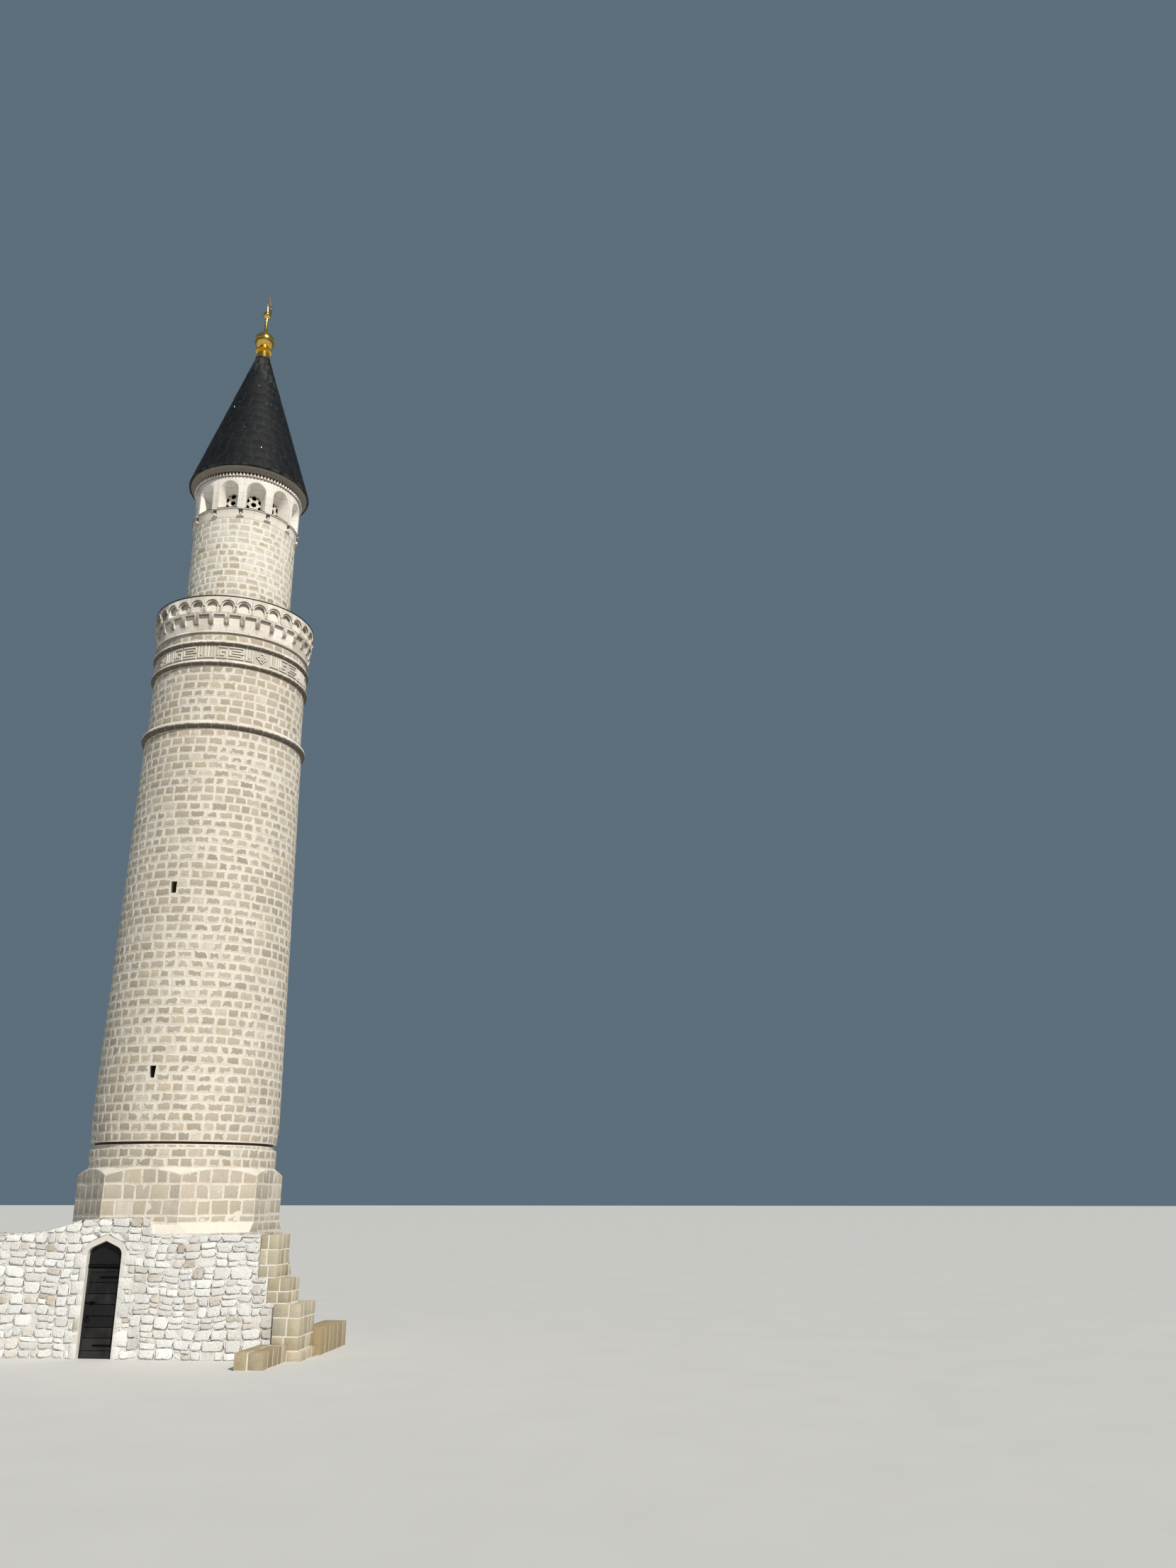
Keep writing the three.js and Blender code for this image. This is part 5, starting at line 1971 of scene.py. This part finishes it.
@dataclass
class Bands(Stage):
    """The string course, the frieze with its two rings, and the plain course over it.

    Attributes:
        comb: The bars of one fret, as the left, foot, width and height of each, in columns and cells.
        meander: The bars of the fret that takes turns with it.
    """

    seed: ClassVar[int] = 23
    string_nose: float = 2.229
    frieze_nose: float = 2.165
    frieze_radius: float = 2.085
    plain_radius: float = 2.08
    bed_radius: float = 1.95
    recess: float = 0.004
    rosette_heading: float = 43.8
    rosettes: int = 3
    rosette_room: float = 0.5
    rosette_level: float = 17.597
    rosette_spread: float = 0.088
    lobe: float = 0.082
    hole: float = 0.034
    modules: int = 6
    cell: float = 0.0385
    columns: int = 16
    foot: float = 17.425
    bar_bed: Bed = Bed(joint=1e-4, rim=0.005, rim_drop=0.004, proud=0.028, sunk=0.004, rough=0.0)
    plain_bed: Bed = Bed(joint=0.022, proud=0.004)
    comb: ClassVar[tuple[tuple[int, ...], ...]] = (
        (0, 0, 7, 1), (0, 1, 1, 8), (2, 1, 1, 8), (4, 1, 1, 8), (6, 1, 1, 8),
        (8, 0, 7, 1), (14, 1, 1, 5), (10, 5, 4, 1), (8, 2, 1, 7), (10, 2, 3, 1), (9, 8, 6, 1), (10, 3, 1, 2),
    )
    meander: ClassVar[tuple[tuple[int, ...], ...]] = (
        (0, 0, 10, 1), (9, 1, 1, 2), (0, 2, 8, 1), (0, 3, 1, 4), (2, 4, 8, 1), (9, 5, 1, 3),
        (0, 8, 10, 1), (2, 6, 6, 1), (11, 0, 4, 1), (11, 1, 1, 8), (13, 2, 1, 7), (15, 0, 1, 9),
    )

    def rings(self) -> None:
        """Builds the three half-round rings."""
        rings = (
            ("string_course", self.string_nose, LEVELS.string, LEVELS.neck, 40),
            ("frieze_ring_lower", self.frieze_nose, LEVELS.lower_ring, LEVELS.frieze, 36),
            ("frieze_ring_upper", self.frieze_nose, LEVELS.upper_ring, LEVELS.plain, 36),
        )
        for name, outer, foot, top, count in rings:
            half = (top - foot) / 2
            nose, core = (arc((r - half, foot + half), half, -90, 90, 8) for r in (outer, outer - 0.006))
            self.mason.moulded([(self.bed_radius, foot), *nose, (self.bed_radius, top)], count, count / 5)
            mortar = Workpiece.tube(LEVELS.inner, *core)
            placed(f"{name}_mortar", mortar, Finish.MORTAR, stands_for=[name])
        placed("ring_stones", self.mason.wall(), Finish.MOULDINGS)

    def fret(self, start: float, shift: int, surface: Surface) -> None:
        """Carves the fret between two rosettes.

        Args:
            start: Where it starts along the band.
            shift: Which of its two patterns comes first.
            surface: The band's surface.
        """
        pitch = (2 * math.pi * self.frieze_radius / self.rosettes - self.rosette_room) / self.modules
        width = pitch / self.columns
        for j in range(self.modules):
            for x, z, wide, high in (self.comb, self.meander)[(j + shift) % 2]:
                low, top = self.foot + z * self.cell, self.foot + (z + high) * self.cell
                left, right = (start + j * pitch + step * width for step in (x + 0.1, x + wide - 0.1))
                self.mason.lay(rectangle(left, low, right, top), surface, self.bar_bed)

    def rosette(self, centre: float, surface: Surface) -> None:
        """Carves a cross of small diamond frames.

        Args:
            centre: Where it stands along the band.
            surface: The band's surface.
        """
        diamond = np.array([(0, -1), (1, 0), (0, 1), (-1, 0), (0, -1)])
        for across, up in (*diamond[:4], (0, 0)):
            middle = self.rosette_spread * np.array([across, up]) + (centre, self.rosette_level)
            size = 1.0 if across or up else 0.5
            for a, b in pairwise(diamond):
                frame = size * np.array([self.lobe * a, self.lobe * b, self.hole * b, self.hole * a])
                self.mason.lay(middle + frame, surface, self.bar_bed)

    def build(self) -> None:
        """Builds the bands."""
        self.rings()
        radius = self.frieze_radius - self.recess
        band = Workpiece.tube(LEVELS.inner, (radius, LEVELS.frieze), (radius, LEVELS.upper_ring))
        placed("frieze_ground", band, Finish.CARVED, stands_for=["frieze_band"])
        surface = round_surface(even(radius), self.frieze_radius)
        third = 2 * math.pi * self.frieze_radius / self.rosettes
        first = math.radians(self.rosette_heading) * self.frieze_radius
        starts = [first + k * third for k in range(self.rosettes)]
        for k, start in enumerate(starts):
            self.fret(start + self.rosette_room / 2, k, surface)
        for start in starts:
            self.rosette(start, surface)
        placed("frieze_carving", self.mason.wall(), Finish.CARVED)
        radius = self.plain_radius - self.recess
        plain = Workpiece.tube(LEVELS.inner, (radius, LEVELS.plain), (radius, LEVELS.corbel))
        placed("plain_course_mortar", plain, Finish.MORTAR, stands_for=["plain_course"])
        self.mason.ring((LEVELS.plain, LEVELS.corbel), even(self.plain_radius), self.plain_bed)
        placed("plain_course_stones", self.mason.wall(), Finish.SHAFT)


@dataclass
class CorbelTable(Stage):
    """The balcony's corbels: a lip, a tier of square niches and a tier of arched ones."""

    seed: ClassVar[int] = 37
    count: int = 32
    phase: float = 0.375
    lip: Profile = (
        (2.095, 18.152), (2.122, 18.166), (2.134, 18.185), (2.134, 18.222), (2.112, 18.245),
    )
    squared: Profile = ((2.112, 18.245), (2.118, 18.43), (2.152, 18.447), (2.193, 18.745))
    arched: Profile = ((2.193, 18.745), (2.207, 19.25))
    half: float = 0.142
    arch_foot: float = 18.79
    arch_spring: float = 18.95
    hood: float = 0.186
    hood_depth: float = 2.178
    hood_face: float = 2.217
    niche_foot: float = 18.43
    niche_top: float = 18.725
    niche_half: float = 0.15
    niche_depth: float = 2.103
    bed_radius: float = 1.9
    joint: float = 0.004
    outside: float = -2.5
    core_radius: float = 2.075

    def block(self, face: Profile) -> Workpiece:
        """Turns a block with a given face."""
        sweep = FULL_TURN / self.count - math.degrees(self.joint / 2.2)
        return Workpiece.tube(self.bed_radius, *face, steps=8, sweep=sweep)

    def arched_block(self) -> Form:
        """Carves a block of the upper tier.

        Returns:
            The block.
        """
        outline = arched(self.hood, self.arch_spring - 0.02, self.arch_spring, 16)
        recess = Workpiece.panel(outline, self.outside, -self.outside - self.hood_depth)
        block = self.block(self.arched).cut_by(recess)
        niche = Workpiece.panel(arched(self.half, self.arch_foot, self.arch_spring, 16), self.outside, 0.41)
        niche.moved(lambda place: place.y > -2.2 and place.z < self.arch_spring - 0.05, (0, -0.075, 0))
        return block.cut_by(niche).softened(0.004).form()

    def squared_block(self) -> Form:
        """Carves a block of the lower tier.

        Returns:
            The block.
        """
        outline = rectangle(-self.niche_half, self.niche_foot, self.niche_half, self.niche_top)
        niche = Workpiece.panel(outline, self.outside, -self.outside - self.niche_depth)
        niche.moved(lambda place: place.y > -2.2 and place.z > self.niche_top - 0.01, (0, 0, -0.035))
        return self.block(self.squared).cut_by(niche).softened(0.004).form()

    def pendant(self) -> Form:
        """Carves the pointed foot of a pier.

        Returns:
            The foot.
        """
        outline = [(-0.062, -2.172, 18.5), (0.062, -2.172, 18.5), (0, -2.135, 18.405)]
        foot = Workpiece.traced(outline, (0, 0.1, 0))
        foot.moved(lambda place: place.y > -2.08 and place.z < 18.45, (0, 0, 0.05))
        return foot.softened(0.003).form()

    def knob(self) -> Form:
        """Turns the knob between two arches.

        Returns:
            The knob.
        """
        place = (0, -2.208, self.arch_spring + 0.005)
        ball = {"segments": 12, "ring_count": 8, "radius": 0.026, "location": place}
        return Workpiece.added(bpy.ops.mesh.primitive_uv_sphere_add, **ball).form()

    def hood_mould(self) -> Form:
        """Carves the fillet that stands over an arch.

        Returns:
            The fillet.
        """
        outline = hoop(self.hood + 0.02, self.hood, self.arch_spring - 0.01, self.arch_spring, 16)
        points = [(x, -math.sqrt(self.hood_face**2 - x * x), z) for x, z in outline]
        return Workpiece.traced(points, (0, 0.04, 0)).softened(0.003).form()

    def build(self) -> None:
        """Builds the corbel table and the metal edge of the balcony."""
        pitch, deck = FULL_TURN / self.count, LEVELS.deck
        first = self.phase * pitch
        inner = [(self.bed_radius, self.lip[i][1]) for i in (0, -1)]
        self.mason.moulded([inner[0], *self.lip, inner[1]], self.count, first)
        self.mason.repeat(self.squared_block(), self.count, first + pitch / 2)
        for form in (self.arched_block(), self.hood_mould(), self.pendant()):
            self.mason.repeat(form, self.count, first)
        self.mason.repeat(self.knob(), self.count, first + pitch / 2)
        placed("corbel_stones", self.mason.wall(), Finish.CARVED)
        core = Workpiece.tube(LEVELS.inner, *((self.core_radius, z) for z in (LEVELS.corbel, deck - 0.01)))
        placed("corbel_mortar", core, Finish.MORTAR, stands_for=["corbel_table"])
        sheet = Workpiece.turned([
            (1.46, deck), (2.2, deck), (2.2, deck - 0.012), (2.216, deck - 0.012), (2.222, deck),
            (2.218, deck + 0.014), (1.46, deck + 0.045),
        ])
        placed("balcony_sheet", sheet, Finish.IRON, stands_for=["balcony_deck"])


@dataclass
class Lantern(Stage):
    """The upper drum, the sill band, the arcade with its pierced screens, and the cornice."""

    seed: ClassVar[int] = 53
    foot_radius: float = 1.472
    top_radius: float = 1.462
    inner: float = 0.95
    course: float = 0.205
    bays: int = 12
    sill_first: float = 15.0
    sill: Profile = (
        (1.467, 22.14), (1.492, 22.26), (1.5, 22.4), (1.508, 22.405), (1.508, 22.413),
        (1.53, 22.416), (1.53, 22.437),
    )
    sill_core: float = 1.44
    rib_headings: tuple[float, ...] = (5.6, 10.3, 15.0, 19.7, 24.4)
    arcade_radius: float = 1.515
    arcade_inner: float = 1.152
    window_half: float = 0.3
    window_spring: float = 23.08
    window_sill: float = 22.46
    splay: float = 0.37
    narrow: float = 0.667
    low: float = 0.685
    screen_radius: float = 1.12
    screen_half: float = 0.024
    screen_columns: int = 36
    screen_pitch: float = 0.216
    screen_hole: float = 0.077
    screen_foot: float = 22.48
    screen_top: float = 23.16
    teeth: int = 96
    teeth_radius: float = 1.535
    teeth_low: float = 23.486
    teeth_high: float = 23.606
    cove: Profile = (
        (1.598, 23.628), (1.604, 23.65), (1.614, 23.67), (1.632, 23.686), (1.632, 23.696), (1.65, 23.7),
        (1.672, 23.71), (1.694, 23.724), (1.7, 23.733),
    )
    drum_bed: Bed = Bed(length=0.27, joint=0.03, proud=0.004, rim_drop=0.006, vary=0.45)

    def drum_radius(self, height: Array) -> Array:
        """The upper drum's radius at each height."""
        return np.interp(height, [LEVELS.deck, LEVELS.sill_band], [self.foot_radius, self.top_radius])

    def drum(self) -> None:
        """Builds the upper drum."""
        heights = (LEVELS.deck, LEVELS.sill_band)
        core = Workpiece.tube(self.inner, *((float(self.drum_radius(z)) - 0.003, z) for z in heights))
        placed("upper_drum_mortar", core, Finish.PALE_MORTAR, stands_for=["upper_drum"])
        levels = self.mason.levels(*heights, self.course)
        for beds, self.mason.hues in ((levels[:5], (0.0, 0.6)), (levels[4:], (0.2, 1.0))):
            self.mason.ring(beds, self.drum_radius, self.drum_bed)
        placed("upper_drum_stones", self.mason.wall(), Finish.DRUM)

    def sill_band(self) -> None:
        """Builds the band under the windows, with its carved arches, knobs and ledges."""
        block = Workpiece.tube(1.3, *self.sill, steps=10, sweep=FULL_TURN / self.bays - 0.12)
        block.cut_by(Workpiece.box((-0.055, -1.7, 22.27), (0.06, -1.42, 22.41)))
        volute = Workpiece.box((-0.06, -1.56, 22.4), (0.065, -1.48, 22.44)).softened(0.016, 3)
        tongue = Workpiece.box((-0.02, -1.535, 22.215), (0.03, -1.46, 22.3)).softened(0.016, 3)
        ledge = Workpiece.box((-0.1, -1.525, 22.182), (0.1, -1.45, 22.204)).softened(0.004)
        for piece in (block.softened(0.003), volute, tongue, ledge):
            self.mason.repeat(piece.form(), self.bays, self.sill_first)
        rib = Workpiece.panel(hoop(0.05, 0.04, 22.31, 22.32, 8), -1.5, 0.012).form()
        for heading in self.rib_headings:
            self.mason.repeat(rib, self.bays, self.sill_first + heading)
        placed("sill_band_stones", self.mason.wall(), Finish.WHITE)
        # The spout throats are near black: partly stain, partly painted shade in their recesses.
        section = [(-1.505, 22.36), (-1.44, 22.275), (-1.44, 22.4), (-1.505, 22.4)]
        throat = Workpiece.traced([(-0.05, y, z) for y, z in section], (0.105, 0, 0)).softened(0.004)
        self.mason.repeat(throat.form(), self.bays, self.sill_first)
        placed("sill_spout_throats", self.mason.wall(), Finish.STAINED)
        strip = Workpiece.turned([(1.5, 22.437), (1.538, 22.437), (1.538, 22.452), (1.5, 22.455)], 8, 23.5)
        self.mason.repeat(strip.softened(0.002).form(), self.bays)
        placed("sill_flashing", self.mason.wall(), Finish.ROOF)
        core = Workpiece.tube(self.inner, (self.sill_core, LEVELS.sill_band), (self.sill_core, 22.434))
        placed("sill_band_core", core, Finish.WHITE, stands_for=["lantern_sill_band"])

    def window(self) -> Workpiece:
        """Shapes the void of a window, which narrows inwards.

        Returns:
            The void.
        """
        outline = arched(self.window_half, self.window_sill, self.window_spring, 20)
        face = -(self.arcade_radius + 0.06)
        void = Workpiece.panel(outline, face, self.splay + 0.06)
        with void.picked(Part.FACES, lambda place: place.y > face + 0.3):
            about = (0, 0, self.window_sill)
            bpy.ops.transform.resize(value=(self.narrow, 1, self.low), center_override=about)
            bpy.ops.mesh.extrude_region_move(TRANSFORM_OT_translate={"value": (0, 0.3, 0)})
        return void

    def arcade(self) -> None:
        """Builds the twelve bays."""
        face = [(self.arcade_radius, LEVELS.arcade), (self.arcade_radius, LEVELS.cornice)]
        bay = Workpiece.tube(self.arcade_inner, *face, steps=12, sweep=FULL_TURN / self.bays)
        self.mason.repeat(bay.cut_by(self.window()).softened(0.006, 2).form(), self.bays)
        nodes = ["lantern_arcade"]
        placed("arcade_stones", self.mason.wall(), Finish.JOINTED, stands_for=nodes, smooth=25)

    def screens(self) -> None:
        """Builds the pierced screens."""
        half, rise = math.pi * self.screen_radius / self.screen_columns, self.screen_pitch / 2
        face, back = -self.screen_radius - self.screen_half, -self.screen_radius + self.screen_half
        plate = Workpiece.box((-half, face, -rise), (half, back, rise))
        drill = {"vertices": 20, "radius": self.screen_hole, "depth": 0.4, "rotation": TOWARDS_DOOR}
        ahead = (0, -self.screen_radius, 0)
        plate.cut_by(Workpiece.added(bpy.ops.mesh.primitive_cylinder_add, location=ahead, **drill))
        cell = plate.softened(0.006).form()
        for column in range(self.screen_columns):
            for row in range(4):
                level = self.screen_foot + row * self.screen_pitch + (rise if column % 3 != 0 else 0) - rise
                if level + rise <= self.screen_top:
                    self.mason.repeat(cell, 1, column * FULL_TURN / self.screen_columns, level)
        placed("screen_cells", self.mason.wall(), Finish.WHITE, stands_for=["lantern_screens"])

    def cornice(self) -> None:
        """Builds the row of teeth and the cove over it."""
        foot, top, radius = self.teeth_low, self.teeth_high, self.teeth_radius
        step = ((1.52, LEVELS.cornice), (radius, foot), (radius + 0.02, top))
        core = Workpiece.tube(1.3, *step, (1.585, top + 0.004), (1.59, top + 0.012), *self.cove)
        placed("cornice_core", core, Finish.CARVED, stands_for=["cornice"], smooth=50)
        # The ground between the teeth is painted near black as the shade in their gaps.
        ground = Workpiece.tube(1.5, (radius + 0.002, foot + 0.002), (radius + 0.022, top - 0.002))
        placed("cornice_ground", ground, Finish.STAINED)
        half = math.pi * radius / self.teeth
        outline = [(-half, -radius, foot), (half, -radius, foot), (0, -radius - 0.055, foot)]
        tooth = Workpiece.traced(outline, (0, 0, top - foot))
        with tooth.picked(Part.POINTS, lambda place: place.z > foot + 0.01):
            bpy.ops.transform.resize(value=(0.06, 0.06, 1), center_override=(0, -radius - 0.02, foot))
        self.mason.repeat(tooth.form(), self.teeth)
        placed("cornice_teeth", self.mason.wall(), Finish.JOINTED, smooth=20)

    def build(self) -> None:
        """Builds the lantern."""
        for part in (self.drum, self.sill_band, self.arcade, self.screens, self.cornice):
            part()


@dataclass
class Roof(Stage):
    """The cone of sheet-metal shingles and its rolled eave.

    Attributes:
        hooks: The heading and the height of each hook.
    """

    seed: ClassVar[int] = 71
    eave_radius: float = 1.755
    top_radius: float = 0.228
    thickness: float = 0.09
    recess: float = 0.006
    course: float = 0.347
    bed: Bed = Bed(
        length=0.36, joint=0.003, rim=0.006, rim_drop=0.0015, proud=-0.002, sunk=0.008, vary=0.2, wander=0.0,
        rough=0.0006, lap=0.005,
    )
    hooks: Profile = (
        (-22, 26.3), (8, 25.3), (20, 27.2), (30, 24.5), (130, 25.2), (150, 26.6), (200, 27.0), (232, 25.6),
        (262, 26.8), (280, 25.1),
    )
    eave: Profile = (
        (1.56, 23.737), (1.745, 23.737), (1.758, 23.742), (1.764, 23.755), (1.762, 23.77),
        (1.75, 23.792), (1.56, 23.79),
    )

    def radius(self, height: Array) -> Array:
        """The cone's radius at each height."""
        return np.interp(height, [LEVELS.roof, LEVELS.finial], [self.eave_radius, self.top_radius])

    def build(self) -> None:
        """Builds the roof."""
        foot, peak, thick = LEVELS.roof, LEVELS.finial, self.thickness
        outer, top = self.eave_radius - self.recess, self.top_radius - self.recess
        cone = Workpiece.turned([(outer - thick, foot), (outer, foot), (top, peak), (top - thick, peak)])
        placed("roof_boarding", cone, Finish.ROOF, stands_for=["roof_cone"])
        self.mason.ring(self.mason.levels(foot, peak, self.course, 0.0), self.radius, self.bed)
        placed("roof_sheets", self.mason.wall(), Finish.ROOF)
        hook = Workpiece.box((-0.008, -0.03, -0.01), (0.008, 0.02, 0.035)).softened(0.004).form()
        for heading, height in self.hooks:
            points = hook.points + (0, -float(self.radius(height)), height)
            self.mason.heap.add(hook, carried_round(points, heading))
        placed("roof_hooks", self.mason.wall(), Finish.BRIGHT)
        placed("eave_roll", Workpiece.turned(self.eave), Finish.ROOF, stands_for=["roof_eave"])


@dataclass
class Finial(Stage):
    """The gilded finial."""

    foot: float = LEVELS.finial
    ball: tuple[float, float] = (0.31, 0.71)
    small_ball: tuple[float, float] = (0.122, 1.72)
    crescent_radius: float = 0.29
    crescent_inner: float = 0.235
    crescent_shift: float = 0.095
    crescent_opening: float = 155.0
    crescent_reach: float = 0.19
    crescent_level: float = 2.243
    crescent_half: float = 0.014
    crescent_heading: float = 97.8
    crescent_steps: int = 36

    def crescent(self) -> Workpiece:
        """Cuts the crescent out of sheet.

        Returns:
            The crescent.
        """
        towards, gap, steps = self.crescent_opening, self.crescent_shift, self.crescent_steps
        outer, inner = self.crescent_radius, self.crescent_inner
        along = (gap**2 + outer**2 - inner**2) / (2 * gap)
        tip = math.degrees(math.acos(along / outer))
        inner_tip = math.degrees(math.acos((along - gap) / inner))
        centre = (gap * math.cos(math.radians(towards)), gap * math.sin(math.radians(towards)))
        outline = arc((0, 0), outer, towards + tip, towards - tip + FULL_TURN, steps)
        outline += arc(centre, inner, towards - inner_tip, towards + inner_tip - FULL_TURN, steps)[1:-1]
        level, half = self.foot + self.crescent_level, self.crescent_half
        flat = np.array([(self.crescent_reach + x, -half, level + z) for x, z in outline])
        points = carried_round(flat, self.crescent_heading)
        depth = carried_round(np.array([0, 2 * half, 0]), self.crescent_heading)
        return Workpiece.traced(points, depth).softened(0.006, 2)

    def build(self) -> None:
        """Builds the finial."""
        (radius, centre), (small, small_centre) = self.ball, self.small_ball
        profile = [
            (0.242, 0.0), (0.238, 0.012), (0.183, 0.3), (0.2, 0.302), (0.246, 0.31), (0.256, 0.336),
            (0.246, 0.358), (0.2, 0.366), (0.168, 0.372), (0.14, 0.385), (0.118, 0.405),
            *arc((0, centre), radius, -67.5, -4, 12),
            (radius + 0.006, 0.694), (radius + 0.006, 0.726),
            *arc((0, centre), radius, 4, 76, 14),
            (0.068, 1.012), (0.056, 1.03), (0.044, 1.6), *arc((0, small_centre), small, -64, 66, 14),
            (0.06, 1.836), (0.06, 1.846), (0.03, 1.855), (0.026, 2.0), (0.022, 2.06),
        ]
        turned = Workpiece.tube(0.0001, *((r, self.foot + z) for r, z in profile), steps=48)
        nodes = ["finial_collar", "finial_ball", "finial_stem"]
        placed("finial_turning", turned, Finish.GILT, stands_for=nodes, smooth=38)
        nodes = ["finial_crescent"]
        placed("finial_crescent_sheet", self.crescent(), Finish.GILT, stands_for=nodes)


@dataclass
class Studio:
    """The camera, the lights and the floor."""

    eye: tuple[float, float, float] = (13.382, -31.88, 3.54)
    heading: tuple[float, float] = (-0.0943, 0.9955)
    pitch: float = 18.36
    lens: float = 28.39
    film: float = 36.0
    clip_end: float = 1000.0
    sun_heading: float = 38.6
    sun_height: float = 41.0
    sun_power: float = 3.85
    sun_size: float = 2.0
    sun_tone: Colour = (1.0, 0.96, 0.9)
    sky_tone: Colour = (0.55, 0.78, 1.0)
    sky_power: float = 0.2
    floor_reach: float = 400.0
    floor_level: float = -0.002
    floor_tones: tuple[Colour, Colour] = ((0.62, 0.605, 0.575), (0.67, 0.655, 0.625))

    def build(self) -> None:
        """Sets the camera at the photograph's place, with a soft sun, a pale even sky and a plain floor."""
        self.camera()
        self.lights()
        self.floor()

    def hung(self, name: str, data: bpy.types.ID) -> bpy.types.Object:
        """Adds an object for a camera or a lamp.

        Args:
            name: Its name.
            data: The camera or the lamp.

        Returns:
            The object.
        """
        obj = bpy.data.objects.new(name, data)
        bpy.context.scene.collection.objects.link(obj)
        return obj

    def camera(self) -> None:
        """Sets the camera."""
        camera = bpy.data.cameras.new("camera")
        camera.lens = self.lens
        camera.sensor_width = self.film
        camera.clip_end = self.clip_end
        seat = self.hung("camera", camera)
        seat.location = self.eye
        rise = math.radians(self.pitch)
        look = Vector((*(math.cos(rise) * h for h in self.heading), math.sin(rise)))
        seat.rotation_euler = look.to_track_quat("-Z", "Y").to_euler()
        bpy.context.scene.camera = seat

    def lights(self) -> None:
        """Adds the sun and a pale even sky."""
        bpy.context.scene.view_settings.view_transform = "Standard"
        lamp = bpy.data.lights.new("sun", "SUN")
        lamp.energy = self.sun_power
        lamp.angle = math.radians(self.sun_size)
        lamp.color = self.sun_tone
        turn, rise = math.radians(self.sun_heading), math.radians(self.sun_height)
        way = Vector((math.sin(turn) * math.cos(rise), -math.cos(turn) * math.cos(rise), math.sin(rise)))
        self.hung("sun", lamp).rotation_euler = way.to_track_quat("Z", "Y").to_euler()
        world = bpy.data.worlds.new("sky")
        world.use_nodes = True
        inputs = world.node_tree.nodes["Background"].inputs
        inputs["Color"].default_value = (*self.sky_tone, 1)
        inputs["Strength"].default_value = self.sky_power
        bpy.context.scene.world = world

    def floor(self) -> None:
        """Adds the plain floor."""
        size, place = 2 * self.floor_reach, (0, 0, self.floor_level)
        floor = Workpiece.added(bpy.ops.mesh.primitive_plane_add, size=size, location=place).obj
        floor.name = "studio_floor"
        s = Shading("studio_floor")
        tone = s.mix(s.noise(0.6, 2.0), *self.floor_tones)
        floor.data.materials.append(s.done(Base_Color=tone, Roughness=0.95))


def main() -> None:
    """Builds the looks round the frame."""
    logging.basicConfig(level=logging.INFO, format="%(name)s: %(message)s")
    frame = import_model()
    Studio().build()
    stages = (
        OctagonStage, FrontWall, SteppedEnd, Doorway, RoundStages, Bands, CorbelTable, Lantern, Roof, Finial,
    )
    for stage in stages:
        LOG.info("building %s", stage.__name__)
        stage(frame).build()


if __name__ == "__main__":
    main()
